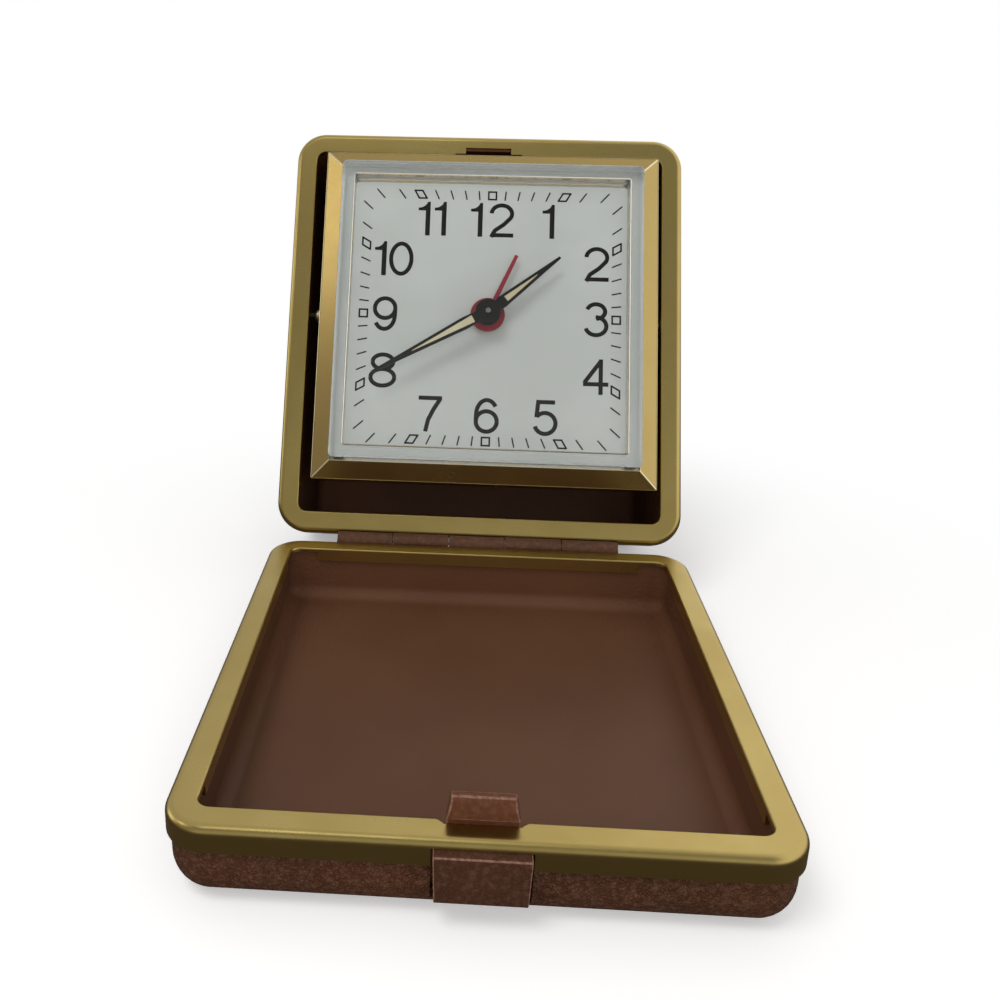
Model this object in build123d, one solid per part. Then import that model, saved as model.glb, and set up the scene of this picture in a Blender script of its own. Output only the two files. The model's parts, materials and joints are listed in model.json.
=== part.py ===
from build123d import *

import os
from math import cos, hypot, pi, radians, sin, tan

# A folding travel alarm clock. A square clock head stands on two pivots inside the deep half of a
# clamshell case, and the shallow half lies flat in front of it as the base. Lengths are in
# millimetres. +X is right, +Y is back and +Z is up. The origin is the middle of the base's underside.

# Driving dimensions: the square head, the room round it in the case and the base's height
head_width = 67.9
head_side_gap = 1.85
head_top_gap = 1.05
head_bottom_gap = 6.35
head_shift = 0.7
base_height = 12.3
lean_angle = 26.5
hinge_offset = 0.9
rim_relief = 0.1

# Brass rims
sheet = 0.5
rim_flat = 4.2
rim_corner = 6.0
opening_corner = 2.0
roll_radius = 1.2
skirt_height = 3.6
flange_height = 2.5
flange_relief = 5.0

# Leatherette shells and their vinyl linings
shell_inset = 0.55
shell_wall = 1.2
shell_draft = 0.6
base_edge = 5.4
upper_edge = 5.0
lining_gap = 1.05
lining_wall = 0.8
lining_edge = 7.0
upper_lining_edge = 5.4

# Case hinge
hinge_margin = 12.5
knuckle_count = 5
knuckle_radius = 1.35
hinge_pin_radius = 0.6
hinge_leaf_height = 5.0

# Push-button latch
latch_travel = 0.8
catch_width = 9.1
catch_sheet = 0.6
catch_stem_inset = 3.3
catch_rise = 4.3
catch_bevel = 1.1
hook_reach = 0.85
hook_level = 1.1
carrier_width = 12.6
web_depth = 2.5
button_width = 12.2
button_proud = 1.4
button_top = 1.3
button_bottom = 9.4
button_edge = 1.6
keeper_width = 12.0
keeper_sheet = 0.4
keeper_depth = 7.0
keeper_notch_width = 9.4
keeper_notch_depth = 1.6
keeper_step_width = 13.8
keeper_step_depth = 0.3
guide_width = 1.4
guide_height = 4.0
spring_sheet = 0.2
spring_width = 19.0
spring_height = 2.6
spring_depth = 3.2

# Clock head, measured from the dial's face
dial_level = 1.5
bezel_sheet = 0.6
bezel_corner = 1.2
bezel_facet = 3.65
bezel_lip = 1.0
bezel_rise = 1.5
bezel_skirt = 4.9
dial_sheet = 0.5
crystal_flange = 0.7
crystal_height = 7.1
crystal_cavity = 5.6
crystal_wall = 2.4
crystal_corner = 1.0
crystal_round = 1.4
can_corner = 5.0
can_sheet = 0.6
lug_size = 4.0
lug_height = 1.5
cover_sheet = 0.6
cover_screw_inset = 3.75

# Head pivots
pivot_depth = 1.7
pivot_radius = 0.7
pivot_dome_radius = 1.5
pivot_dome_rise = 0.9
pivot_shank_radius = 0.9
pivot_rivet_radius = 1.4
bracket_sheet = 0.8
bracket_width = 9.0
bracket_height = 14.0

# Movement plates
plate_margin = 3.08
plate_gap = 0.2
plate_sheet = 1.0
front_plate_level = 3.9
train_height = 7.4
back_space = 0.6
pillar_radius = 1.6
pillar_inset = 6.2
screw_head_radius = 1.7
screw_head_height = 0.7
movement_screw_inset = 2.4

# Motion work under the dial
arbor_radius = 0.5
tube_wall = 0.35
motion_module = 0.3
cannon_teeth = 12
minute_wheel_teeth = 36
minute_pinion_teeth = 10
hour_teeth = 40
alarm_teeth = 40
alarm_pinion_teeth = 10
motion_sheet = 0.5
hour_wheel_level = 2.7
alarm_wheel_level = 1.5
cannon_level = 3.6
minute_post_angle = 200.0
alarm_arbor_angle = 21.0
post_radius = 0.5

# Going train between the plates
main_teeth = 48
centre_pinion_teeth = 8
centre_teeth = 48
third_pinion_teeth = 8
third_teeth = 56
fourth_pinion_teeth = 7
fourth_teeth = 60
escape_pinion_teeth = 6
escape_teeth = 15
main_module = 0.52
centre_module = 0.25
third_module = 0.2
fourth_module = 0.18
escape_radius = 4.2
escape_root = 3.2
wheel_sheet = 0.4
pinion_length = 0.9
train_arbor_radius = 0.4
barrel_angle = 137.3
third_angle = -50.0
fourth_angle = 200.0
escape_angle = 215.0
lever_angle = 205.0
lever_distance = 5.6
balance_distance = 11.0
balance_radius = 4.4
balance_rim = 0.8
balance_sheet = 0.9
pallet_spread = 2.4
pallet_reach = 1.2
pallet_pin_radius = 0.25
fork_length = 4.2
barrel_radius = 10.0
barrel_wall = 0.6
barrel_height = 4.8
barrel_arbor_radius = 1.2
barrel_gap = 1.48
alarm_barrel_y = 11.0
alarm_barrel_radius = 8.3
mainspring_sheet = 0.35
mainspring_turns = 4
hairspring_sheet = 0.15
hairspring_turns = 4
hairspring_inner = 1.0
hairspring_outer = 3.2
turn_steps = 12

# Alarm hammer, stop pin and regulator
hammer_inset = 5.7
hammer_y = -4.0
hammer_gap = 0.7
hammer_width = 1.4
hammer_head_radius = 2.2
hammer_head_height = 3.0
stop_x = 14.0
stop_y = -18.0
stop_pin_radius = 0.8
stop_knob_radius = 2.1
stop_knob_height = 1.6
regulator_ring_radius = 2.0
regulator_length = 7.0
regulator_width = 1.0
regulator_sheet = 0.4
regulator_swing = 18.0

# Keys and knobs on the back
key_hub_radius = 1.9
key_hub_height = 2.2
key_wing_width = 10.0
key_wing_height = 3.4
key_wing_sheet = 1.2
knob_height = 2.2
time_knob_radius = 3.2
alarm_knob_radius = 2.6
knob_flutes = 12
flute_radius = 0.35
back_standoff = 0.6

# Hands, as heights over the dial
alarm_hand_level = 1.3
hour_hand_level = 2.8
minute_hand_level = 4.3
hand_sheet = 0.3
minute_hand_gap = 1.75
hour_hand_step = 7.6
alarm_hand_step = 4.8
minute_hand_width = 2.5
hour_hand_width = 2.9
alarm_hand_width = 1.1
hand_tail_share = 0.62
hand_hub_radius = 2.5
alarm_hub_radius = 3.45
hub_pin_rise = 0.6
minute_hand_angle = 240.0
hour_hand_angle = 50.1
alarm_hand_angle = 24.0

# Clearances
seat = 0.05
running = 0.07
side_clear = 0.15
free_clear = 0.3
overrun = 1.0

# Shares that shape the gear teeth
tooth_tip_share = 0.2
tooth_root_share = 0.52
addendum_share = 0.85
dedendum_share = 1.15

# Worked out from the sizes above
lean = radians(lean_angle)
draft = radians(shell_draft)
opening_width = head_width + 2 * head_side_gap
opening_depth = head_width + head_top_gap + head_bottom_gap
case_width = opening_width + 2 * rim_flat
case_depth = opening_depth + 2 * rim_flat
front_edge = hinge_offset + case_depth
head_rise = hinge_offset + rim_flat + head_bottom_gap + head_width / 2
hinge_length = case_width - 2 * hinge_margin
hinge_y = case_depth / 2 + hinge_offset
hinge_z = base_height + rim_relief
shell_side = hinge_offset + shell_inset
keeper_inset = catch_stem_inset - hook_reach + latch_travel - side_clear
carrier_depth = base_height + rim_relief - base_edge
drop_to_table = base_height + rim_relief
upper_height = (
    drop_to_table
    - upper_edge
    + cos(lean) * (shell_side - upper_edge * tan(draft) + upper_edge / cos(draft))
    + sin(lean) * (upper_edge - rim_relief)
) / (sin(lean) - cos(lean) * tan(draft))
skirt_clear = knuckle_radius + side_clear - hinge_offset
back_plate_level = front_plate_level + plate_sheet + train_height
can_depth = back_plate_level + plate_sheet + back_space + cover_sheet
pivot_level = -pivot_depth - dial_level
half_head = head_width / 2
crystal_width = head_width - 2 * bezel_facet - 2 * side_clear
minute_hand_length = crystal_width / 2 - crystal_wall - minute_hand_gap
hour_hand_length = minute_hand_length - hour_hand_step
alarm_hand_length = hour_hand_length - alarm_hand_step

base_frame = Plane(origin=(0, hinge_y, hinge_z), x_dir=(-1, 0, 0), z_dir=(0, 0, 1)).location
upper_frame = Plane(
    origin=(0, hinge_y, hinge_z), x_dir=(1, 0, 0), z_dir=(0, -cos(lean), sin(lean))
).location
half_centre = Pos(0, hinge_offset + case_depth / 2, -rim_relief)
head_frame = upper_frame * Pos(head_shift, head_rise, dial_level)


def save(shape, name):
    """Writes one named piece as a STEP file."""
    export_step(shape, f"parts/{name}.step")


def block(width, depth, height, corner, edge=0.0, taper=0.0):
    """A block under z = 0 with rounded plan corners, drafted walls and a rounded lower edge."""
    body = extrude(RectangleRounded(width, depth, corner), amount=height, dir=(0, 0, -1), taper=taper)
    if edge:
        body = fillet(body.edges().group_by(Axis.Z)[0], edge)
    return body


def pan(width, depth, height, corner, edge, wall, taper):
    """An open pressed tray of even wall, hanging below z = 0."""
    inner = block(
        width - 2 * wall, depth - 2 * wall, height - wall, corner - wall, edge - wall, taper
    )
    return block(width, depth, height, corner, edge, taper) - inner


def bar(low, high):
    """A box between two corners."""
    size = [b - a for a, b in zip(low, high)]
    return Pos(*low) * Box(*size, align=(Align.MIN, Align.MIN, Align.MIN))


def disc(radius, low, high):
    """A round bar on the Z axis between two heights."""
    return Pos(0, 0, low) * Cylinder(radius, high - low, align=(Align.CENTER, Align.CENTER, Align.MIN))


def cross_bar(radius, low, high):
    """A round bar on the X axis between two places."""
    return Rot(0, 90, 0) * disc(radius, low, high)


def ring(outer, inner, low, high):
    """A round sleeve on the Z axis."""
    return disc(outer, low, high) - disc(inner, low - overrun, high + overrun)


def square_frustum(low_width, high_width, low, high):
    """A four-sided block with flat sloping sides."""
    sections = [Pos(0, 0, low) * Rectangle(low_width, low_width)]
    sections.append(Pos(0, 0, high) * Rectangle(high_width, high_width))
    return loft(sections, ruled=True)


def front_profile(points, width):
    """A section in the front wall, given as (inset, level) points and drawn out along X."""
    outline = [(front_edge - inset, level) for inset, level in points]
    face = make_face(Polyline(*outline, close=True))
    return Plane.YZ.location * Pos(0, 0, -width / 2) * extrude(face, amount=width)


# Case halves, in a frame with the hinge line at the origin, +Y into the half and +Z out of it


def rim():
    """A stamped brass frame: flat face, rolled outer edge, short skirt and inner flange."""
    skirt = block(case_width, case_depth, skirt_height, rim_corner)
    skirt = fillet(skirt.edges().group_by(Axis.Z)[-1], roll_radius)
    hollow = block(
        case_width - 2 * sheet, case_depth - 2 * sheet, skirt_height, rim_corner - sheet
    )
    hollow = fillet(hollow.edges().group_by(Axis.Z)[-1], roll_radius - sheet)
    frame = skirt - Pos(0, 0, -sheet) * hollow
    frame -= Pos(0, 0, overrun) * block(
        opening_width, opening_depth, skirt_height, opening_corner
    )
    band = Pos(0, 0, -sheet) * block(
        opening_width + 2 * sheet,
        opening_depth + 2 * sheet,
        flange_height,
        opening_corner + sheet,
    )
    band -= block(opening_width, opening_depth, skirt_height, opening_corner)
    straight = block(opening_width - 2 * flange_relief, case_depth, skirt_height, opening_corner)
    straight += block(case_width, opening_depth - 2 * flange_relief, skirt_height, opening_corner)
    frame = half_centre * (frame + (band & straight))
    reach = hinge_length / 2 + side_clear
    cut = bar((-reach, -overrun, -skirt_height - overrun), (reach, hinge_offset + skirt_clear, overrun))
    return frame - cut


def base_rim():
    """The base's rim, notched for the catch and open below its rolled edge for the button."""
    notch = catch_width / 2 + free_clear
    catch_side = catch_stem_inset - side_clear
    frame = rim() - bar(
        (-notch, front_edge - rim_flat - overrun, -skirt_height - overrun),
        (notch, front_edge - catch_side, overrun),
    )
    slot = button_width / 2 + side_clear
    return frame - bar(
        (-slot, front_edge - sheet - seat, -skirt_height - overrun),
        (slot, front_edge + overrun, seat - button_top),
    )


def upper_rim():
    """The upper rim, with the stepped keeper notch and the holes for the head's pivots."""
    frame = rim()
    steps = ((keeper_notch_width, keeper_notch_depth), (keeper_step_width, keeper_step_depth))
    for width, depth in steps:
        frame -= bar(
            (-width / 2, front_edge - rim_flat - overrun, -sheet - rim_relief - overrun),
            (width / 2, front_edge - rim_flat + depth, overrun),
        )
    frame -= bar(
        (-keeper_step_width / 2, front_edge - rim_flat - overrun, -skirt_height - overrun),
        (keeper_step_width / 2, front_edge - rim_flat + sheet + seat, -sheet - rim_relief),
    )
    hole = cross_bar(pivot_radius + running, -case_width / 2 + rim_flat / 2, case_width / 2 - rim_flat / 2)
    return frame - Pos(0, head_rise, -pivot_depth) * hole


def shell(height, edge):
    """The outer shell of one half: a deep-drawn pan covered in leatherette."""
    top = roll_radius + seat
    body = pan(
        case_width - 2 * shell_inset,
        case_depth - 2 * shell_inset,
        height - top,
        rim_corner - shell_inset,
        edge,
        shell_wall,
        shell_draft,
    )
    return half_centre * Pos(0, 0, -top) * body


def lining(height, edge):
    """The vinyl lining tray of one half, dished into its walls and seated on the shell's floor."""
    inset = shell_inset + shell_wall + lining_gap
    top = sheet + seat
    body = pan(
        case_width - 2 * inset,
        case_depth - 2 * inset,
        height - shell_wall - top,
        rim_corner - inset,
        edge,
        lining_wall,
        shell_draft,
    )
    return half_centre * Pos(0, 0, -top) * body


def base_shell():
    """The base's shell with the button's slot in its front wall."""
    slot = button_width / 2 + side_clear
    cut = bar(
        (-slot, front_edge - shell_inset - shell_wall - overrun, -button_bottom - side_clear),
        (slot, front_edge + overrun, overrun),
    )
    return shell(base_height, base_edge) - cut


def base_lining():
    """The base's lining with a window behind the catch."""
    inset = shell_inset + shell_wall + lining_gap
    reach = carrier_width / 2 + side_clear + guide_width + side_clear
    window = bar(
        (-reach, front_edge - inset - 2 * lining_wall, -carrier_depth - free_clear),
        (reach, front_edge, overrun),
    )
    return lining(base_height, lining_edge) - window


def upper_lining():
    """The deep lining with a pocket for the keeper and holes for the pivots."""
    inset = shell_inset + shell_wall + lining_gap
    reach = keeper_width / 2 + side_clear
    pocket = bar(
        (-reach, front_edge - inset - 2 * lining_wall, -keeper_depth - free_clear),
        (reach, front_edge, overrun),
    )
    hole = cross_bar(pivot_radius + free_clear, -case_width / 2, case_width / 2)
    body = lining(upper_height, upper_lining_edge) - pocket
    return body - Pos(0, head_rise, -pivot_depth) * hole


def knuckle_span(index):
    """The low and high ends of one hinge knuckle along X."""
    pitch = hinge_length / knuckle_count
    start = -hinge_length / 2 + index * pitch
    return start + side_clear / 2, start + pitch - side_clear / 2


def hinge_leaf(parity):
    """One hinge leaf against its shell, with every second knuckle and room for the others."""
    leaf = bar(
        (-hinge_length / 2, hinge_offset, -hinge_leaf_height),
        (hinge_length / 2, hinge_offset + sheet, 0),
    )
    for index in range(knuckle_count):
        low, high = knuckle_span(index)
        if index % 2 != parity:
            leaf -= cross_bar(knuckle_radius + side_clear, low - side_clear, high + side_clear)
    for index in range(parity, knuckle_count, 2):
        low, high = knuckle_span(index)
        leaf += cross_bar(knuckle_radius, low, high)
    return leaf - cross_bar(hinge_pin_radius + running, -case_width, case_width)


def hinge_pin():
    """The pin through all the knuckles."""
    return cross_bar(hinge_pin_radius, -hinge_length / 2, hinge_length / 2)


def latch_catch():
    """The sprung catch: carrier plate, web and a stem that rises through the rim to its hook."""
    back = catch_stem_inset + catch_sheet
    carrier = shell_inset + shell_wall + side_clear
    nose = catch_stem_inset - hook_reach
    stem = (
        (carrier, -web_depth - catch_sheet),
        (carrier, -web_depth),
        (catch_stem_inset, -web_depth),
        (catch_stem_inset, hook_level),
        (nose, hook_level),
        (nose, catch_rise - catch_bevel),
        (catch_stem_inset - hook_reach / 2, catch_rise),
        (back, catch_rise),
        (back, -web_depth - catch_sheet),
    )
    plate = (
        (carrier, -carrier_depth),
        (carrier, -web_depth),
        (carrier + catch_sheet, -web_depth),
        (carrier + catch_sheet, -carrier_depth),
    )
    return front_profile(stem, catch_width) + front_profile(plate, carrier_width)


def latch_button():
    """The leatherette push button in the base's front wall."""
    inner = shell_inset + shell_wall + side_clear - seat
    points = (
        (inner, -button_top),
        (-button_proud + button_edge / 4, -button_top),
        (-button_proud, -button_top - button_edge / 4),
        (-button_proud, -button_bottom + button_edge),
        (-button_proud + button_edge, -button_bottom),
        (inner, -button_bottom),
    )
    return front_profile(points, button_width)


def latch_guides():
    """Two runners on the front wall, either side of the catch's carrier."""
    wall = front_edge - shell_inset - shell_wall
    high = wall - carrier_depth * tan(draft)
    low = wall - side_clear - catch_sheet
    start = carrier_width / 2 + side_clear
    cheek = bar(
        (start, low, -carrier_depth),
        (start + guide_width, high, guide_height - carrier_depth),
    )
    return cheek + mirror(cheek, about=Plane.YZ)


def latch_spring():
    """The leaf spring between the catch's carrier and the lining, which bows when the button goes in."""
    inset = shell_inset + shell_wall + side_clear + catch_sheet + seat / 2
    high = front_edge - inset
    return bar(
        (-spring_width / 2, high - spring_sheet, -spring_depth - spring_height),
        (spring_width / 2, high, -spring_depth),
    )


def latch_keeper():
    """The keeper behind the upper rim: a lip for the hook and a leg on the front wall."""
    wall = shell_inset + shell_wall + keeper_depth * tan(draft)
    top = -rim_relief - sheet - seat
    points = (
        (wall, top),
        (keeper_inset, top),
        (keeper_inset, top - keeper_sheet),
        (wall + keeper_sheet, top - keeper_sheet),
        (wall + keeper_sheet, -keeper_depth),
        (wall, -keeper_depth),
    )
    return front_profile(points, keeper_width)


def pivot_bracket():
    """A steel strip on the right inner wall that carries one head pivot."""
    outer = case_width / 2 - shell_inset - shell_wall - upper_bracket_lean()
    strip = bar(
        (outer - bracket_sheet, head_rise - bracket_width / 2, -bracket_height),
        (outer, head_rise + bracket_width / 2, -rim_relief - sheet - seat),
    )
    hole = cross_bar(pivot_radius + running, 0, case_width)
    return strip - Pos(0, head_rise, -pivot_depth) * hole


def upper_bracket_lean():
    """How far the drafted wall leans in over the bracket's height."""
    return bracket_height * tan(draft)


# Clock head, in a frame with the dial's face at z = 0


def bezel():
    """The square bezel: a sheet skirt and four mitred facets that rise to the crystal."""
    inner_width = head_width - 2 * bezel_facet
    body = Pos(0, 0, bezel_lip) * block(head_width, head_width, bezel_skirt + bezel_lip, bezel_corner)
    body += square_frustum(head_width - bezel_corner, inner_width, bezel_lip, bezel_lip + bezel_rise)
    hollow = head_width - 2 * bezel_sheet
    body -= Pos(0, 0, bezel_lip - bezel_sheet) * block(
        hollow, hollow, bezel_skirt + overrun, bezel_corner - bezel_sheet
    )
    body -= square_frustum(
        hollow - bezel_corner,
        inner_width - 2 * bezel_sheet,
        bezel_lip - bezel_sheet - seat,
        bezel_lip + bezel_rise - bezel_sheet,
    )
    body -= extrude(Rectangle(inner_width, inner_width), amount=case_width, both=True)
    shank = cross_bar(pivot_shank_radius + seat, -case_width, case_width)
    return body - Pos(0, 0, pivot_level) * shank


def crystal():
    """The moulded box crystal with rounded edges, hollow over the hands."""
    width = crystal_width
    flange = head_width - 2 * bezel_sheet - 2 * free_clear - bezel_facet
    body = extrude(RectangleRounded(width, width, crystal_corner), amount=crystal_height)
    body = fillet(body.edges().group_by(Axis.Z)[-1], crystal_round)
    body += extrude(Rectangle(flange, flange), amount=crystal_flange)
    cavity = extrude(Rectangle(width - 2 * crystal_wall, width - 2 * crystal_wall), amount=crystal_cavity)
    return body - fillet(cavity.edges().group_by(Axis.Z)[-1], crystal_round / 2)


def dial():
    """The square dial plate with its centre hole."""
    width = head_width - 2 * bezel_sheet - 2 * side_clear
    plate = Pos(0, 0, -dial_sheet) * extrude(Rectangle(width, width), amount=dial_sheet - seat)
    return plate - disc(alarm_tube_radius() + free_clear, -overrun, overrun)


def head_case():
    """The movement's square can, with a front flange under the dial and four corner lugs."""
    flange = head_width - 2 * bezel_sheet - 2 * side_clear
    top = -dial_sheet - seat
    body = Pos(0, 0, top) * block(flange, flange, can_sheet, bezel_corner)
    body += Pos(0, 0, top) * block(can_width, can_width, can_depth + top, can_corner)
    inside = can_width - 2 * can_sheet
    body -= Pos(0, 0, overrun) * block(inside, inside, can_depth + 2 * overrun, can_corner - can_sheet)
    low = -front_plate_level - plate_sheet - seat - lug_height
    lugs = block(can_width - can_sheet, can_width - can_sheet, lug_height, can_corner - can_sheet)
    cross = inside - 2 * lug_size
    lugs -= Pos(0, 0, overrun) * block(cross, can_width, lug_height + 2 * overrun, can_sheet)
    lugs -= Pos(0, 0, overrun) * block(can_width, cross, lug_height + 2 * overrun, can_sheet)
    return body + Pos(0, 0, low + lug_height) * lugs


def pivot_stud(reach):
    """A shouldered pivot on the right side: rivet, shank, dome against the bezel and a pin."""
    side = half_head
    stud = cross_bar(pivot_shank_radius, side - bezel_sheet - seat, side + seat)
    stud += cross_bar(pivot_rivet_radius, side - 2 * bezel_sheet, side - bezel_sheet - seat)
    sag = (pivot_dome_radius**2 + pivot_dome_rise**2) / (2 * pivot_dome_rise)
    ball = Pos(side + seat + pivot_dome_rise - sag, 0, 0) * Sphere(sag)
    stud += ball & cross_bar(pivot_dome_radius, side + seat, side + seat + pivot_dome_rise)
    return stud + cross_bar(pivot_radius, side + seat, reach)


def gear(teeth, module, low, high, bore=0.0):
    """A spur wheel with a tooth on +X, between two heights."""
    radius = teeth * module / 2
    pitch = 2 * pi / teeth
    rings = (
        (radius - dedendum_share * module, -tooth_root_share / 2),
        (radius + addendum_share * module, -tooth_tip_share / 2),
        (radius + addendum_share * module, tooth_tip_share / 2),
        (radius - dedendum_share * module, tooth_root_share / 2),
    )
    points = []
    for index in range(teeth):
        for r, share in rings:
            angle = (index + share) * pitch
            points.append((r * cos(angle), r * sin(angle)))
    body = Pos(0, 0, low) * extrude(make_face(Polyline(*points, close=True)), amount=high - low)
    return body - disc(bore, low - overrun, high + overrun) if bore else body


def mesh_turn(turn, teeth, next_teeth, angle):
    """The turn that puts a wheel's gaps over the teeth of the wheel that it meshes with."""
    return angle + 180 - 180 / next_teeth + (angle - turn) * teeth / next_teeth


def polar(angle, distance):
    """A place at an angle and distance, as x and y."""
    return distance * cos(radians(angle)), distance * sin(radians(angle))


def step_place(start, angle, distance):
    """A place at an angle and distance from another."""
    x, y = polar(angle, distance)
    return start[0] + x, start[1] + y


def mesh_distance(teeth, next_teeth, module):
    """The distance between two meshing wheels."""
    return (teeth + next_teeth) * module / 2


def spiral(inner, outer, turns, thickness, low, high):
    """A flat spiral spring of even pitch."""
    steps = turns * turn_steps
    growth = (outer - inner) / steps
    outside = []
    inside = []
    for index in range(steps + 1):
        angle = 2 * pi * index / turn_steps
        r = inner + growth * index
        outside.append((r * cos(angle), r * sin(angle)))
        inside.append(((r - thickness) * cos(angle), (r - thickness) * sin(angle)))
    face = make_face(Polyline(*outside, *reversed(inside), close=True))
    return Pos(0, 0, low) * extrude(face, amount=high - low)


# Places of the arbors in the movement, seen from the front
minute_post = polar(minute_post_angle, mesh_distance(cannon_teeth, minute_wheel_teeth, motion_module))
hour_module = 2 * hypot(*minute_post) / (hour_teeth + minute_pinion_teeth)
alarm_arbor = polar(alarm_arbor_angle, mesh_distance(alarm_teeth, alarm_pinion_teeth, motion_module))
barrel_place = polar(barrel_angle, mesh_distance(main_teeth, centre_pinion_teeth, main_module))
third_place = polar(third_angle, mesh_distance(centre_teeth, third_pinion_teeth, centre_module))
fourth_place = step_place(
    third_place, fourth_angle, mesh_distance(third_teeth, fourth_pinion_teeth, third_module)
)
escape_place = step_place(
    fourth_place, escape_angle, mesh_distance(fourth_teeth, escape_pinion_teeth, fourth_module)
)
lever_place = step_place(escape_place, lever_angle, lever_distance)
balance_place = step_place(escape_place, lever_angle, balance_distance)
main_reach = (main_teeth / 2 + addendum_share) * main_module
alarm_barrel_x = barrel_place[0] + main_reach + barrel_gap + alarm_barrel_radius
alarm_barrel = (alarm_barrel_x, alarm_barrel_y)

# The plates hold the going barrel, and the can and its screws follow the plates
plate_width = 2 * (main_reach + plate_margin - barrel_place[0])
can_width = plate_width + 2 * (plate_gap + can_sheet)
pillar_place = plate_width / 2 - pillar_inset
movement_screw_place = can_width / 2 - can_sheet - movement_screw_inset
cover_screw_place = can_width / 2 - can_sheet - side_clear - cover_screw_inset
hammer_place = (plate_width / 2 - hammer_inset, hammer_y)
hammer_length = pillar_place + hammer_y - pillar_radius - hammer_head_radius - hammer_gap
stop_place = (stop_x, stop_y)

# Turns that keep each pair of wheels in mesh at rest
minute_turn = mesh_turn(0, cannon_teeth, minute_wheel_teeth, minute_post_angle)
hour_turn = mesh_turn(minute_turn, minute_pinion_teeth, hour_teeth, minute_post_angle + 180)
alarm_pinion_turn = mesh_turn(0, alarm_teeth, alarm_pinion_teeth, alarm_arbor_angle)
barrel_turn = mesh_turn(0, centre_pinion_teeth, main_teeth, barrel_angle)
third_turn = mesh_turn(0, centre_teeth, third_pinion_teeth, third_angle)
fourth_turn = mesh_turn(third_turn, third_teeth, fourth_pinion_teeth, fourth_angle)
escape_turn = mesh_turn(fourth_turn, fourth_teeth, escape_pinion_teeth, escape_angle)


def under(depth):
    """A height inside the train space, counted back from the front plate."""
    return -front_plate_level - plate_sheet - depth


def cannon_tube_radius():
    """Outer radius of the cannon pinion's tube."""
    return arbor_radius + running + tube_wall


def hour_tube_radius():
    """Outer radius of the hour wheel's tube."""
    return cannon_tube_radius() + running + tube_wall


def alarm_tube_radius():
    """Outer radius of the alarm wheel's tube."""
    return hour_tube_radius() + running + tube_wall


def centre_sleeve_radius():
    """Outer radius of the sleeve that carries the centre wheel on its arbor."""
    return arbor_radius + running + tube_wall


def plate_holes(sizes, low):
    """The pivot holes through one plate."""
    holes = []
    for (x, y), radius in sizes:
        holes.append(Pos(x, y) * disc(radius + running, low - overrun, low + plate_sheet + overrun))
    return holes


def front_plate():
    """The brass front plate with its pivot holes and the post of the minute wheel."""
    low = -front_plate_level - plate_sheet
    plate = block(plate_width, plate_width, plate_sheet, can_corner - can_sheet)
    plate = Pos(0, 0, low + plate_sheet) * plate
    sizes = [
        ((0, 0), arbor_radius),
        (alarm_arbor, arbor_radius),
        (barrel_place, barrel_arbor_radius),
        (alarm_barrel, barrel_arbor_radius),
        (third_place, train_arbor_radius),
        (fourth_place, train_arbor_radius),
        (escape_place, train_arbor_radius),
        (lever_place, train_arbor_radius),
        (balance_place, train_arbor_radius),
        (hammer_place, arbor_radius),
    ]
    for hole in plate_holes(sizes, low):
        plate -= hole
    for x, y in corner_places(movement_screw_place):
        plate -= Pos(x, y) * disc(arbor_radius + running, low - overrun, low + 2 * plate_sheet)
    post_top = -hour_wheel_level + motion_sheet
    post = disc(post_radius, low + plate_sheet / 2, post_top + motion_sheet / 2)
    return plate + Pos(*minute_post) * post


def back_plate():
    """The brass back plate, smaller than the can, with the rear pivot holes."""
    low = -back_plate_level - plate_sheet
    width = plate_width - 2 * lug_size
    plate = Pos(0, 0, low + plate_sheet) * block(width, width, plate_sheet, can_corner - can_sheet)
    sizes = [
        ((0, 0), arbor_radius),
        (alarm_arbor, arbor_radius),
        (barrel_place, barrel_arbor_radius),
        (alarm_barrel, barrel_arbor_radius),
        (third_place, train_arbor_radius),
        (fourth_place, train_arbor_radius),
        (escape_place, train_arbor_radius),
        (lever_place, train_arbor_radius),
        (balance_place, train_arbor_radius),
        (hammer_place, arbor_radius),
        (stop_place, stop_pin_radius),
    ]
    for hole in plate_holes(sizes, low):
        plate -= hole
    return plate


def corner_places(distance):
    """The four corners of a square of that half width."""
    return [(x, y) for x in (-distance, distance) for y in (-distance, distance)]


def plate_pillars():
    """Four pillars that hold the plates apart."""
    pillars = [
        Pos(x, y) * disc(pillar_radius, under(train_height), under(0))
        for x, y in corner_places(pillar_place)
    ]
    return Compound(children=pillars)


def plate_screws():
    """Four screws that hold the back plate to the pillars."""
    low = -back_plate_level - plate_sheet
    heads = [
        Pos(x, y) * disc(screw_head_radius, low - screw_head_height / 2, low)
        for x, y in corner_places(pillar_place)
    ]
    return Compound(children=heads)


def movement_screws():
    """Four screws that hold the front plate on the can's lugs."""
    top = -front_plate_level
    screws = []
    for x, y in corner_places(movement_screw_place):
        body = disc(screw_head_radius / 2, top, top + screw_head_height / 2)
        body += disc(arbor_radius, top - plate_sheet, top + seat)
        screws.append(Pos(x, y) * body)
    return Compound(children=screws)


def back_cover():
    """The can's back cover with holes for keys, knobs, the stop pin and the regulator's slot."""
    width = can_width - 2 * can_sheet - 2 * side_clear
    low = -can_depth
    cover = block(width, width, cover_sheet, can_corner - can_sheet - side_clear)
    cover = Pos(0, 0, low + cover_sheet) * cover
    sizes = [
        ((0, 0), arbor_radius),
        (alarm_arbor, arbor_radius),
        (barrel_place, barrel_arbor_radius),
        (alarm_barrel, barrel_arbor_radius),
        (stop_place, stop_pin_radius),
    ]
    sizes += [(place, regulator_width / 2) for place in regulator_slot_places()]
    for (x, y), radius in sizes:
        cover -= Pos(x, y) * disc(radius + free_clear, low - overrun, low + cover_sheet + overrun)
    return cover


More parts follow.
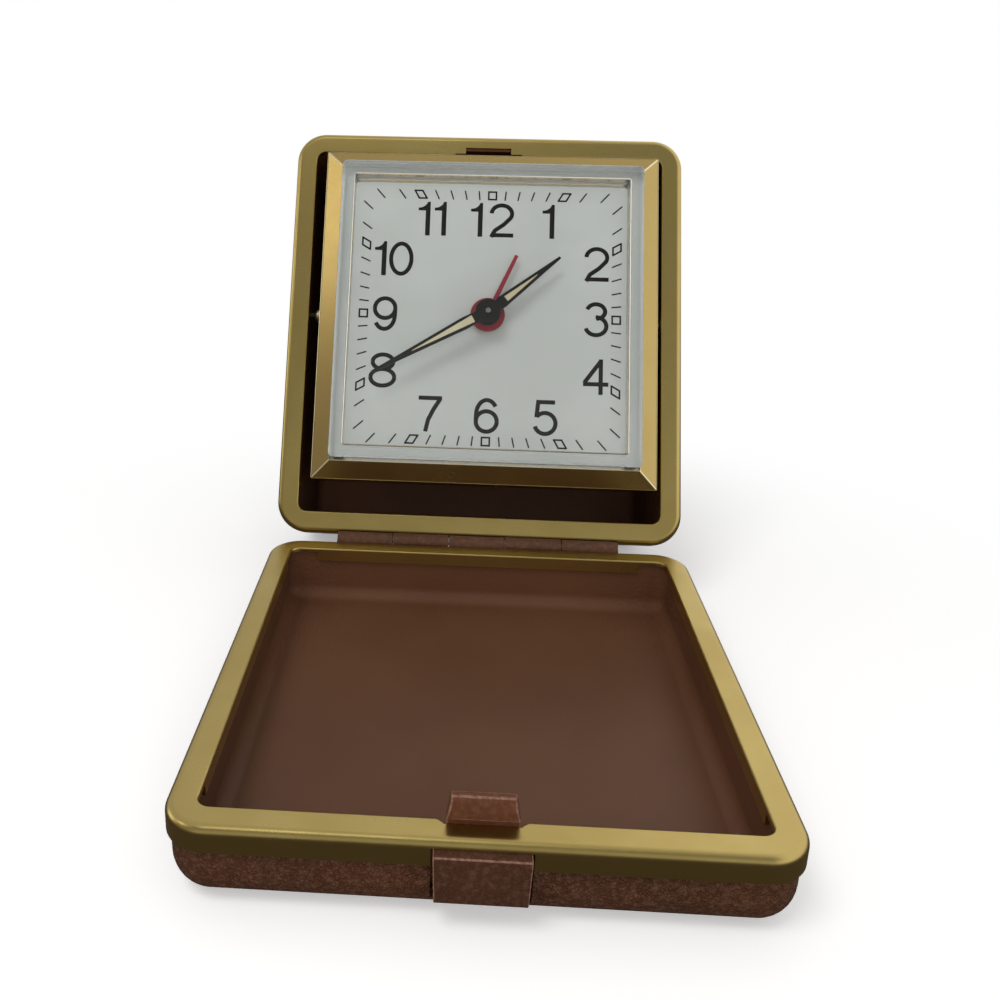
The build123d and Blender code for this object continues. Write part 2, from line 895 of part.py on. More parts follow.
def regulator_slot_places():
    """Places along the arc that the regulator's peg can reach."""
    places = []
    for share in (-1, -0.5, 0, 0.5, 1):
        angle = regulator_rest_angle() + share * regulator_swing
        places.append(step_place(balance_place, angle, regulator_length))
    return places


def regulator_rest_angle():
    """The way that the regulator's arm points, away from the train."""
    return lever_angle - 90


def regulator():
    """The regulator: a ring over the balance's pivot, an arm and a peg through the cover."""
    top = -back_plate_level - plate_sheet - seat
    low = top - regulator_sheet
    body = disc(regulator_ring_radius, low, top)
    body += Pos(regulator_length / 2, 0, top) * block(
        regulator_length, regulator_width, regulator_sheet, regulator_width / 3
    )
    body += Pos(regulator_length, 0) * disc(regulator_width / 2, -can_depth - regulator_sheet, top)
    body -= disc(train_arbor_radius + running, low - overrun, top + overrun)
    return Pos(*balance_place) * Rot(0, 0, regulator_rest_angle()) * body


def cover_screws():
    """Four screws in the back cover."""
    heads = []
    for x, y in corner_places(cover_screw_place):
        heads.append(Pos(x, y) * disc(screw_head_radius, -can_depth - screw_head_height, -can_depth))
    return Compound(children=heads)


# Winding and setting work


def key(place):
    """A butterfly winding key on its square."""
    low = -can_depth - back_standoff - key_hub_height
    body = disc(key_hub_radius, low, low + key_hub_height)
    wing = bar(
        (-key_wing_width / 2, -key_wing_sheet / 2, low - key_wing_height),
        (key_wing_width / 2, key_wing_sheet / 2, low + seat),
    )
    body += fillet(wing.edges().filter_by(Axis.Y).group_by(Axis.Z)[0], key_wing_height / 2)
    return Pos(*place) * body


def winding_arbor(place):
    """The arbor that winds one mainspring and carries its key."""
    low = -can_depth - back_standoff + seat
    return Pos(*place) * disc(barrel_arbor_radius, low, -front_plate_level - side_clear)


def barrel(place, radius, teeth, turn):
    """A mainspring barrel: a drum with its toothed rim, or a plain drum."""
    low = under(barrel_height + pinion_length)
    high = under(pinion_length)
    body = disc(radius, low, high) - disc(radius - barrel_wall, low - overrun, high - barrel_wall)
    if teeth:
        body += gear(teeth, main_module, high - seat, high + wheel_sheet)
    hole = disc(barrel_arbor_radius + running, low - overrun, high + overrun)
    return Pos(*place) * Rot(0, 0, turn) * (body - hole)


def mainspring(place, radius):
    """The coiled spring inside a barrel."""
    low = under(barrel_height + pinion_length) + side_clear
    high = under(pinion_length) - barrel_wall - side_clear
    inner = barrel_arbor_radius + mainspring_sheet + running
    outer = radius - barrel_wall - seat
    return Pos(*place) * spiral(inner, outer, mainspring_turns, mainspring_sheet, low, high)


def knob(place, radius):
    """A fluted setting knob behind the cover."""
    low = -can_depth - back_standoff - knob_height
    body = disc(radius, low, low + knob_height)
    for index in range(knob_flutes):
        x, y = polar(360 * index / knob_flutes, radius)
        body -= Pos(x, y) * disc(flute_radius, low - overrun, low + knob_height + overrun)
    return Pos(*place) * body


def centre_arbor():
    """The arbor from the setting knob to the minute hand."""
    top = minute_hand_level + hand_sheet + hub_pin_rise
    return disc(arbor_radius, -can_depth - back_standoff + seat, top)


def cannon_pinion():
    """The cannon pinion: a tube on the centre arbor with twelve leaves."""
    low = -cannon_level
    body = gear(cannon_teeth, motion_module, low, low + motion_sheet + side_clear)
    body += disc(cannon_tube_radius(), low, minute_hand_level)
    return body - disc(arbor_radius + seat / 5, low - overrun, minute_hand_level + overrun)


def minute_wheel():
    """The minute wheel and its pinion, on the post beside the centre."""
    wheel_low = -cannon_level + side_clear / 2
    pinion_low = wheel_low + motion_sheet
    top = -hour_wheel_level + motion_sheet + side_clear
    body = gear(minute_wheel_teeth, motion_module, wheel_low, pinion_low)
    body += gear(minute_pinion_teeth, hour_module, pinion_low - seat, top)
    body -= disc(post_radius + running, wheel_low - overrun, top + overrun)
    return Pos(*minute_post) * Rot(0, 0, minute_turn) * body


def hour_wheel():
    """The hour wheel and the tube that carries the hour hand."""
    low = -hour_wheel_level
    body = Rot(0, 0, hour_turn) * gear(hour_teeth, hour_module, low, low + motion_sheet)
    body += disc(hour_tube_radius(), low, hour_hand_level)
    return body - disc(cannon_tube_radius() + running, low - overrun, hour_hand_level + overrun)


def alarm_wheel():
    """The alarm wheel and the tube that carries the alarm hand."""
    low = -alarm_wheel_level
    body = gear(alarm_teeth, motion_module, low, low + motion_sheet)
    body += disc(alarm_tube_radius(), low, alarm_hand_level)
    return body - disc(hour_tube_radius() + running, low - overrun, alarm_hand_level + overrun)


def alarm_set_arbor():
    """The alarm's setting arbor with its pinion under the dial."""
    low = -alarm_wheel_level - side_clear / 2
    body = gear(alarm_pinion_teeth, motion_module, low, low + motion_sheet + side_clear)
    body += disc(arbor_radius, -can_depth - back_standoff + seat, low + seat)
    return Pos(*alarm_arbor) * Rot(0, 0, alarm_pinion_turn) * body


# Going train


def centre_wheel():
    """The centre wheel and pinion on a sleeve round the centre arbor."""
    top = -front_plate_level - plate_sheet - side_clear
    low = under(train_height) + side_clear
    body = gear(centre_teeth, centre_module, low, low + wheel_sheet)
    pinion_low = under(pinion_length) - side_clear
    body += gear(centre_pinion_teeth, main_module, pinion_low, top)
    body += disc(centre_sleeve_radius(), low, top)
    return body - disc(arbor_radius + running, low - overrun, top + overrun)


def train_wheel(place, turn, pinion, wheel, arbor=train_arbor_radius):
    """A pinion and a wheel on one arbor between the plates."""
    low = -back_plate_level - plate_sheet + seat
    body = disc(arbor, low, -front_plate_level - seat)
    pinion_teeth, pinion_module, pinion_high = pinion
    body += gear(pinion_teeth, pinion_module, pinion_high - pinion_length, pinion_high)
    return Pos(*place) * Rot(0, 0, turn) * (body + wheel)


def third_wheel():
    """The third wheel and pinion."""
    pinion_high = under(train_height) + side_clear / 2 + pinion_length
    level = under(third_level())
    wheel = gear(third_teeth, third_module, level, level + wheel_sheet)
    return train_wheel(
        third_place, third_turn, (third_pinion_teeth, centre_module, pinion_high), wheel
    )


def third_level():
    """Depth of the third wheel in the train space."""
    return barrel_height - 2 * wheel_sheet


def fourth_level():
    """Depth of the fourth wheel in the train space."""
    return third_level() / 2


def fourth_wheel():
    """The fourth wheel and pinion."""
    level = under(fourth_level())
    wheel = gear(fourth_teeth, fourth_module, level, level + wheel_sheet)
    pinion_high = under(third_level()) + (wheel_sheet + pinion_length) / 2
    return train_wheel(
        fourth_place, fourth_turn, (fourth_pinion_teeth, third_module, pinion_high), wheel
    )


def escape_level():
    """Depth of the escape wheel in the train space."""
    return third_level() + wheel_sheet + pinion_length


def escape_wheel():
    """The escape wheel, with pointed teeth, and its pinion."""
    level = under(escape_level())
    points = []
    for index in range(escape_teeth):
        for r, share in ((escape_root, 0.0), (escape_radius, 0.7), (escape_root, 0.85)):
            x, y = polar(360 * (index + share) / escape_teeth, r)
            points.append((x, y))
    wheel = Pos(0, 0, level) * extrude(make_face(Polyline(*points, close=True)), amount=wheel_sheet)
    pinion_high = under(fourth_level()) + (wheel_sheet + pinion_length) / 2
    return train_wheel(
        escape_place, escape_turn, (escape_pinion_teeth, fourth_module, pinion_high), wheel
    )


def pallet_lever():
    """The pallet lever: a fork towards the balance and two pins towards the escape wheel."""
    level = under(escape_level())
    top = level + wheel_sheet
    low = -back_plate_level - plate_sheet + seat
    half = train_arbor_radius
    body = disc(half, low, -front_plate_level - seat) + disc(2 * half, level, top)
    body += bar((-pallet_reach, -half, level), (fork_length, half, top))
    body += bar(
        (-pallet_reach - pallet_pin_radius, -pallet_spread - pallet_pin_radius, level),
        (-pallet_reach + pallet_pin_radius, pallet_spread + pallet_pin_radius, top),
    )
    for y in (-pallet_spread, pallet_spread):
        body += Pos(-pallet_reach, y) * disc(pallet_pin_radius, level - pinion_length, level + seat)
    return Pos(*lever_place) * Rot(0, 0, lever_angle) * body


def balance_wheel():
    """The balance: rim, two arms and staff."""
    low = under(balance_rim + balance_sheet)
    body = ring(balance_radius, balance_radius - balance_rim, low, low + balance_sheet)
    arm = balance_radius - balance_rim / 2
    body += bar((-arm, -balance_rim / 2, low), (arm, balance_rim / 2, low + balance_sheet / 2))
    staff_low = -back_plate_level - plate_sheet + seat
    body += disc(train_arbor_radius, staff_low, -front_plate_level - seat)
    collet = hairspring_inner - hairspring_sheet - running
    body += disc(collet, hairspring_low(), hairspring_low() + balance_sheet)
    return Pos(*balance_place) * body


def hairspring_low():
    """Depth at which the hairspring starts."""
    return under(train_height - balance_sheet)


def hairspring():
    """The flat spiral on the balance's staff."""
    low = hairspring_low() + side_clear
    high = low + balance_sheet / 2
    return Pos(*balance_place) * spiral(
        hairspring_inner, hairspring_outer, hairspring_turns, hairspring_sheet, low, high
    )


def alarm_hammer():
    """The alarm's hammer: arbor, arm and head that strikes the can."""
    low = -back_plate_level - plate_sheet + seat
    level = under(train_height / 2)
    top = level + hammer_width / 2
    body = disc(arbor_radius, low, -front_plate_level - seat) + disc(hammer_width, level, top)
    body += bar((-hammer_width / 2, -hammer_length, level), (hammer_width / 2, 0, top))
    head = disc(hammer_head_radius, -hammer_head_height / 2, hammer_head_height / 2)
    return Pos(*hammer_place) * (body + Pos(0, -hammer_length, level) * head)


def alarm_stop():
    """The pin that is pulled out to set the alarm and pushed in to stop it."""
    knob_low = -can_depth - back_standoff - stop_knob_height
    body = disc(stop_knob_radius, knob_low, knob_low + stop_knob_height)
    body += disc(stop_pin_radius, knob_low, under(train_height / 2))
    return Pos(*stop_place) * body


# Hands


def blade(length, width, level):
    """A tapered hand that points up from its hub, widest near a third of its length."""
    half = width / 2
    points = (
        (-half * hand_tail_share, 0),
        (-half, length * (1 - hand_tail_share)),
        (0, length),
        (half, length * (1 - hand_tail_share)),
        (half * hand_tail_share, 0),
    )
    face = make_face(Polyline(*points, close=True))
    return Pos(0, 0, level) * extrude(face, amount=hand_sheet)


def hand(length, width, level, hub, bore, angle):
    """A hand with its round hub, at an angle clockwise from twelve."""
    body = blade(length, width, level) + disc(hub, level, level + hand_sheet)
    body -= disc(bore, level - overrun, level + overrun)
    return Rot(0, 0, -angle) * body


def hands():
    """The three hands, by name."""
    hour_bore = cannon_tube_radius() + running
    alarm_bore = hour_tube_radius() + running
    hub = hand_hub_radius
    return {
        "minute_hand": hand(
            minute_hand_length, minute_hand_width, minute_hand_level, hub, arbor_radius, minute_hand_angle
        ),
        "hour_hand": hand(
            hour_hand_length, hour_hand_width, hour_hand_level, hub, hour_bore, hour_hand_angle
        ),
        "alarm_hand": hand(
            alarm_hand_length,
            alarm_hand_width,
            alarm_hand_level,
            alarm_hub_radius,
            alarm_bore,
            alarm_hand_angle,
        ),
    }


def case_pieces():
    """Every piece of the two case halves and the latch, by name."""
    bracket = pivot_bracket()
    return {
        "base_shell": base_frame * base_shell(),
        "base_lining": base_frame * base_lining(),
        "base_rim": base_frame * base_rim(),
        "base_hinge_leaf": base_frame * hinge_leaf(0),
        "hinge_pin": base_frame * hinge_pin(),
        "latch_guides": base_frame * latch_guides(),
        "latch_catch": base_frame * latch_catch(),
        "latch_button": base_frame * latch_button(),
        "latch_spring": base_frame * latch_spring(),
        "upper_shell": upper_frame * shell(upper_height, upper_edge),
        "upper_lining": upper_frame * upper_lining(),
        "upper_rim": upper_frame * upper_rim(),
        "upper_hinge_leaf": upper_frame * hinge_leaf(1),
        "latch_keeper": upper_frame * latch_keeper(),
        "pivot_bracket_right": upper_frame * bracket,
        "pivot_bracket_left": upper_frame * mirror(bracket, about=Plane.YZ),
    }


def head_pieces():
    """The fixed pieces of the clock head, by name."""
    reach = case_width / 2 - shell_inset - shell_wall - upper_bracket_lean() - side_clear
    studs = {
        "pivot_stud_right": Pos(0, 0, pivot_level) * pivot_stud(reach - head_shift),
        "pivot_stud_left": Pos(0, 0, pivot_level)
        * mirror(pivot_stud(reach + head_shift), about=Plane.YZ),
    }
    return studs | {
        "bezel": bezel(),
        "crystal": crystal(),
        "dial": dial(),
        "head_case": head_case(),
        "back_cover": back_cover(),
        "cover_screws": cover_screws(),
        "front_plate": front_plate(),
        "back_plate": back_plate(),
        "plate_pillars": plate_pillars(),
        "plate_screws": plate_screws(),
        "movement_screws": movement_screws(),
        "going_mainspring": mainspring(barrel_place, barrel_radius),
        "alarm_mainspring": mainspring(alarm_barrel, alarm_barrel_radius),
        "alarm_barrel": barrel(alarm_barrel, alarm_barrel_radius, 0, 0),
        "hairspring": hairspring(),
    }


def moving_pieces():
    """The pieces of the head that turn or slide, by name."""
    return hands() | {
        "centre_arbor": centre_arbor(),
        "cannon_pinion": cannon_pinion(),
        "time_set_knob": knob((0, 0), time_knob_radius),
        "minute_wheel": minute_wheel(),
        "hour_wheel": hour_wheel(),
        "alarm_wheel": alarm_wheel(),
        "alarm_set_arbor": alarm_set_arbor(),
        "alarm_set_knob": knob(alarm_arbor, alarm_knob_radius),
        "going_winding_arbor": winding_arbor(barrel_place),
        "going_key": key(barrel_place),
        "alarm_winding_arbor": winding_arbor(alarm_barrel),
        "alarm_key": key(alarm_barrel),
        "going_barrel": barrel(barrel_place, barrel_radius, main_teeth, barrel_turn),
        "centre_wheel": centre_wheel(),
        "third_wheel": third_wheel(),
        "fourth_wheel": fourth_wheel(),
        "escape_wheel": escape_wheel(),
        "pallet_lever": pallet_lever(),
        "balance_wheel": balance_wheel(),
        "alarm_hammer": alarm_hammer(),
        "alarm_stop": alarm_stop(),
        "regulator": regulator(),
    }


def main():
    """Builds and writes every piece."""
    os.makedirs("parts", exist_ok=True)
    for name, shape in case_pieces().items():
        save(shape, name)
    for pieces in (head_pieces(), moving_pieces()):
        for name, shape in pieces.items():
            save(head_frame * shape, name)
    print(f"upper half is {upper_height:.2f} mm deep")


main()
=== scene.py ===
"""Dresses the folding travel alarm clock and sets it in its studio.

Pieces are modelled in millimetres in the frame of a case half or of the clock head, and then
settled in metres in the frame of the whole clock.
"""

from __future__ import annotations

import json
import logging
import math
from contextlib import contextmanager
from dataclasses import dataclass, field
from enum import Enum
from typing import Any, Callable, Iterator, Sequence

import bmesh
import bpy
from mathutils import Matrix, Vector

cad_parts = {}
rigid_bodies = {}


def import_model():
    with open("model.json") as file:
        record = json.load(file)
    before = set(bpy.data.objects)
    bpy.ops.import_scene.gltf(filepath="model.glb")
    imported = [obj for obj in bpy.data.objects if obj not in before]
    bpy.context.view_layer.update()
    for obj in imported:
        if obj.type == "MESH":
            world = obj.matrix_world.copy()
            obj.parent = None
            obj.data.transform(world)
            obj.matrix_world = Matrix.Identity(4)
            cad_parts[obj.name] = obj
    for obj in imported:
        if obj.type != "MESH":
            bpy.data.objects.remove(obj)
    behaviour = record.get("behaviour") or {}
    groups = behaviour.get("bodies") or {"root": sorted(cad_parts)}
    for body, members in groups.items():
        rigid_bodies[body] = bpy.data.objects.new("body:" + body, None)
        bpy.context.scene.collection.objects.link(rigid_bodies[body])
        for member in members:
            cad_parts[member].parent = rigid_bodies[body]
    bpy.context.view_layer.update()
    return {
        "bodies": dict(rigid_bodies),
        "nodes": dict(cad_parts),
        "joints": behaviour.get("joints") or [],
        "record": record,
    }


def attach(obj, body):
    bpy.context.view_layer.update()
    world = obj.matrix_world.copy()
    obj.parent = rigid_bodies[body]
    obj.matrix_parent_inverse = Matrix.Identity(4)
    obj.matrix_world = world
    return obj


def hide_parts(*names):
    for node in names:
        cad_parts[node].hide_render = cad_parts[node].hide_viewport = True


LOG = logging.getLogger("clock")
MM = 0.001
Piece = bpy.types.Object
Colour = tuple[float, float, float]
Point = tuple[float, float, float]
Spot = tuple[float, float]
Line = list[Spot]
Round = tuple[float, int]


def tone(red: int, green: int, blue: int) -> Colour:
    """Turns a colour as it is seen on a screen, in 0 to 255, into linear values."""
    shares = (value / 255 for value in (red, green, blue))
    return tuple(s / 12.92 if s <= 0.04045 else ((s + 0.055) / 1.055) ** 2.4 for s in shares)


class Kind(Enum):
    """What an edit step selects."""

    POINTS = "VERT"
    EDGES = "EDGE"
    FACES = "FACE"


class Place(Enum):
    """The frames that pieces are modelled in."""

    BASE = "base half"
    UPPER = "upper half"
    HEAD = "clock head"
    ROOM = "whole clock"


@dataclass(frozen=True)
class Stand:
    """Where the hinge line is and how far the upper half leans back."""

    hinge: Point = (0.0, 42.75, 12.4)
    lean_angle: float = 26.5
    head: Point = (0.7, 45.4, 1.5)

    def frame(self, place: Place) -> Matrix:
        """Gives the matrix from a place to the whole clock, in millimetres."""
        hinge = Matrix.Translation(self.hinge)
        upper = hinge @ Matrix.Rotation(math.pi / 2 - math.radians(self.lean_angle), 4, "X")
        frames = {
            Place.ROOM: Matrix.Identity(4),
            Place.BASE: hinge @ Matrix.Rotation(math.pi, 4, "Z"),
            Place.UPPER: upper,
            Place.HEAD: upper @ Matrix.Translation(self.head),
        }
        return frames[place]


class Bench:
    """Modelling steps that the pieces share. Lengths are in millimetres."""

    @staticmethod
    def free() -> None:
        """Leaves edit mode and lets go of every object."""
        active = bpy.context.view_layer.objects.active
        if active is not None and active.mode != "OBJECT":
            bpy.ops.object.mode_set(mode="OBJECT")
        bpy.ops.object.select_all(action="DESELECT")

    @staticmethod
    def hold(piece: Piece) -> None:
        """Makes one piece the selected and active object."""
        Bench.free()
        piece.select_set(True)
        bpy.context.view_layer.objects.active = piece

    @staticmethod
    @contextmanager
    def edit(piece: Piece, whole: bool = True) -> Iterator[None]:
        """Opens a piece in edit mode with all of it selected, or nothing."""
        Bench.hold(piece)
        bpy.ops.object.mode_set(mode="EDIT")
        bpy.ops.mesh.select_all(action="SELECT" if whole else "DESELECT")
        yield
        bpy.ops.object.mode_set(mode="OBJECT")

    @staticmethod
    def pick(piece: Piece, kind: Kind, test: Callable[[Any], bool]) -> None:
        """Selects the points, edges or faces that pass a test, in edit mode.

        Args:
            piece: The piece in edit mode.
            kind: What to select.
            test: Says whether an element is wanted.
        """
        bpy.ops.mesh.select_all(action="DESELECT")
        bpy.ops.mesh.select_mode(type=kind.value)
        mesh = bmesh.from_edit_mesh(piece.data)
        mesh.normal_update()
        lists = {Kind.POINTS: mesh.verts, Kind.EDGES: mesh.edges, Kind.FACES: mesh.faces}
        for item in [item for item in lists[kind] if test(item)]:
            item.select_set(True)
        mesh.select_flush_mode()
        bmesh.update_edit_mesh(piece.data)

    @staticmethod
    def named(name: str) -> Piece:
        """Names the piece that an operator has just added and puts its place in its mesh."""
        piece = bpy.context.active_object
        piece.name = piece.data.name = name
        bpy.ops.object.transform_apply(location=True, rotation=True, scale=True)
        return piece

    @staticmethod
    def settle(piece: Piece, matrix: Matrix) -> Piece:
        """Moves a piece's mesh by a matrix and leaves its origin where it is."""
        piece.matrix_world = matrix
        Bench.hold(piece)
        bpy.ops.object.transform_apply(location=True, rotation=True, scale=True)
        return piece

    @staticmethod
    def plate(name: str, width: float, depth: float, corner: float = 0.0, steps: int = 12) -> Piece:
        """Adds a flat plate with rounded corners, centred on the origin.

        Args:
            name: The piece's name.
            width: Size along X.
            depth: Size along Y.
            corner: Radius of its corners.
            steps: Segments in each corner.

        Returns:
            The plate.
        """
        Bench.free()
        bpy.ops.mesh.primitive_plane_add(size=1.0, scale=(1.0, 1.0, 1.0))
        piece = Bench.named(name)
        with Bench.edit(piece):
            bpy.ops.transform.resize(value=(width, depth, 1.0))
            if corner:
                bpy.ops.mesh.bevel(
                    offset=corner, offset_type="OFFSET", segments=steps, affect="VERTICES"
                )
        return piece

    @staticmethod
    def prism(name: str, points: Sequence[Spot], height: float) -> Piece:
        """Adds an upright prism over an outline, by moving the points of a filled ring.

        Args:
            name: The piece's name.
            points: The outline's corners in order, anticlockwise.
            height: The prism's height.

        Returns:
            The piece.
        """
        Bench.free()
        bpy.ops.mesh.primitive_circle_add(vertices=len(points), radius=1.0, fill_type="NGON")
        piece = Bench.named(name)
        with Bench.edit(piece):
            for index, (x, y) in enumerate(points):
                Bench.pick(piece, Kind.POINTS, lambda v, wanted=index: v.index == wanted)
                mesh = bmesh.from_edit_mesh(piece.data)
                start = [v.co.copy() for v in mesh.verts if v.select][0]
                bpy.ops.transform.translate(value=(x - start.x, y - start.y, -start.z))
            bpy.ops.mesh.select_all(action="SELECT")
            bpy.ops.mesh.normals_make_consistent(inside=False)
            mesh = bmesh.from_edit_mesh(piece.data)
            mesh.normal_update()
            if mesh.faces[:][0].normal.z < 0:
                bpy.ops.mesh.flip_normals()
        with Bench.edit(piece):
            Bench.extrude((0.0, 0.0, height))
        Bench.outward(piece)
        return piece

    @staticmethod
    def block(name: str, low: Point, high: Point, angle: float = 0.0) -> Piece:
        """Adds a box between two corners, turned about its own upright axis."""
        Bench.free()
        middle = [(a + b) / 2 for a, b in zip(low, high)]
        size = [b - a for a, b in zip(low, high)]
        bpy.ops.mesh.primitive_cube_add(
            size=1.0, location=middle, rotation=(0.0, 0.0, angle), scale=size
        )
        return Bench.named(name)

    @staticmethod
    def rod(name: str, radius: float, start: Point, end: Point, sides: int = 32) -> Piece:
        """Adds a round bar between two points."""
        Bench.free()
        a, b = Vector(start), Vector(end)
        turn = (b - a).to_track_quat("Z", "Y").to_euler()
        bpy.ops.mesh.primitive_cylinder_add(
            vertices=sides, radius=radius, depth=(b - a).length, location=(a + b) / 2, rotation=turn
        )
        return Bench.named(name)

    @staticmethod
    def extrude(move: Point, edges: bool = False) -> None:
        """Extrudes the selected faces or edges, in edit mode."""
        extrude = bpy.ops.mesh.extrude_edges_move if edges else bpy.ops.mesh.extrude_region_move
        extrude(TRANSFORM_OT_translate={"value": move})

    @staticmethod
    def shift(piece: Piece, move: Point) -> None:
        """Moves a whole piece inside its frame."""
        with Bench.edit(piece):
            bpy.ops.transform.translate(value=move)

    @staticmethod
    def outward(piece: Piece, near: float = 0.0005) -> None:
        """Merges near points and turns the faces outwards."""
        with Bench.edit(piece):
            bpy.ops.mesh.remove_doubles(threshold=near)
            bpy.ops.mesh.normals_make_consistent(inside=False)

    @staticmethod
    def modify(piece: Piece, kind: str, **settings: Any) -> None:
        """Adds a modifier with its settings and applies it."""
        modifier = piece.modifiers.new(kind.lower(), kind)
        for key, value in settings.items():
            setattr(modifier, key, value)
        Bench.hold(piece)
        bpy.ops.object.modifier_apply(modifier=modifier.name)

    @staticmethod
    def thicken(piece: Piece, wall: float) -> None:
        """Gives a skin its wall, inwards from the faces that show."""
        Bench.modify(piece, "SOLIDIFY", thickness=wall, offset=-1.0, use_even_offset=True)

    @staticmethod
    def soften(
        piece: Piece, width: float, segments: int = 3, angle: float = 30.0, slot: int = -1
    ) -> None:
        """Rounds the sharp edges of a piece.

        Args:
            piece: The piece.
            width: Width of the rounding.
            segments: Segments across it.
            angle: Least angle in degrees of an edge that is rounded.
            slot: The material slot that the rounding gets.
        """
        Bench.modify(
            piece,
            "BEVEL",
            width=width,
            segments=segments,
            limit_method="ANGLE",
            angle_limit=math.radians(angle),
            material=slot,
        )

    @staticmethod
    def edged(piece: Piece, width: float, angle: float) -> None:
        """Rounds a piece's edges and gives the rounding a material slot of its own."""
        for _ in range(2):
            piece.data.materials.append(None)
        Bench.soften(piece, width, 3, angle, 1)

    @staticmethod
    def cut(piece: Piece, tool: Piece) -> None:
        """Cuts one piece with another, which is used up."""
        Bench.modify(piece, "BOOLEAN", operation="DIFFERENCE", solver="EXACT", object=tool)
        bpy.data.objects.remove(tool, do_unlink=True)

    @staticmethod
    def carve(piece: Piece, xs: Spot | float, ys: Spot, zs: Spot) -> None:
        """Cuts a box out of a piece, given its ranges or its half width and two ranges."""
        across = xs if isinstance(xs, tuple) else (-xs, xs)
        Bench.cut(piece, Bench.block("cutter", *zip(across, ys, zs)))

    @staticmethod
    def join(name: str, pieces: Sequence[Piece]) -> Piece:
        """Joins pieces into one."""
        Bench.hold(pieces[0])
        for piece in pieces:
            piece.select_set(True)
        bpy.ops.object.join()
        joined = bpy.context.active_object
        joined.name = joined.data.name = name
        return joined

    @staticmethod
    def face_up(piece: Piece) -> None:
        """Turns a skin's faces over where its flat top looks down."""
        with Bench.edit(piece, False):
            mesh = bmesh.from_edit_mesh(piece.data)
            mesh.normal_update()
            tops = [f for f in mesh.faces if abs(f.normal.z) > 0.99]
            if sum(f.normal.z * f.calc_area() for f in tops) < 0:
                bpy.ops.mesh.select_all(action="SELECT")
                bpy.ops.mesh.flip_normals()

    @staticmethod
    def shade(piece: Piece, angle: float) -> None:
        """Shades a piece smooth across edges below an angle in degrees."""
        Bench.hold(piece)
        bpy.ops.object.shade_smooth_by_angle(angle=math.radians(angle))


class Wiring:
    """Adds and joins the nodes of one tree."""

    def __init__(self, tree: bpy.types.NodeTree) -> None:
        """Starts on a tree."""
        self.tree = tree

    def give(self, node: bpy.types.Node, values: dict[Any, Any]) -> None:
        """Joins an output, or gives a value, to each named or numbered input of a node."""
        for key, value in values.items():
            if isinstance(value, bpy.types.NodeSocket):
                self.tree.links.new(value, node.inputs[key])
            else:
                node.inputs[key].default_value = value

    def add(self, kind: str, values: dict[Any, Any] | None = None, **settings: Any) -> Any:
        """Adds a node, sets it up and wires its inputs.

        Args:
            kind: The node's type, without its usual start.
            values: What each input gets.
            **settings: The node's own properties.

        Returns:
            The node's outputs.
        """
        node = self.tree.nodes.new(f"ShaderNode{kind}")
        for key, value in settings.items():
            setattr(node, key, value)
        self.give(node, values or {})
        return node.outputs

    def math(self, operation: str, *values: Any) -> Any:
        """Adds a sum and gives its output."""
        return self.add("Math", dict(enumerate(values)), operation=operation)[0]

    def vector(self, operation: str, values: dict[int, Any]) -> Any:
        """Adds a vector sum and gives its outputs."""
        return self.add("VectorMath", values, operation=operation)

    def blend(self, share: Any, low: Any, high: Any, amount: float = 1.0) -> Any:
        """Mixes two colours by an amount of a share and gives the output."""
        share = share if amount == 1.0 else self.math("MULTIPLY", share, amount)
        sides = (v if isinstance(v, bpy.types.NodeSocket) else (*v, 1.0) for v in (low, high))
        return self.add("Mix", dict(zip((0, 6, 7), (share, *sides))), data_type="RGBA")[2]

    def between(self, share: Any, low: float, high: float) -> Any:
        """Mixes two numbers and gives the output."""
        return self.add("Mix", {0: share, 2: low, 3: high})[0]

    def spread(self, value: Any, low: Any, high: Any) -> Any:
        """Spreads a stretch of values over 0 to 1, smoothly."""
        return self.add(
            "MapRange", {0: value, 1: low, 2: high}, interpolation_type="SMOOTHSTEP"
        )[0]

    def noise(self, vector: Any, scale: Any, detail: float = 3.0, rough: float = 0.5) -> Any:
        """Adds a noise texture and gives its value."""
        values = {"Vector": vector, "Scale": scale, "Detail": detail, "Roughness": rough}
        return self.add("TexNoise", values)[0]

    def map(self, vector: Any, **values: Point) -> Any:
        """Turns and scales a vector."""
        return self.add("Mapping", {"Vector": vector, **values})[0]

    def end(self, first: Any, second: Any, share: Any, output: str = "Material Output") -> None:
        """Mixes two shaders by a share and joins the mix to the tree's output."""
        mixed = self.add("MixShader", {0: share, 1: first, 2: second})
        self.give(self.tree.nodes[output], {"Surface": mixed[0]})


class Effect(Enum):
    """The shared surface effects, each a node group."""

    PEBBLE = "pebble grain"
    CLOUD = "cloud"
    SATIN = "satin grain"
    SPECKS = "specks"
    CRINKLE = "crinkle"


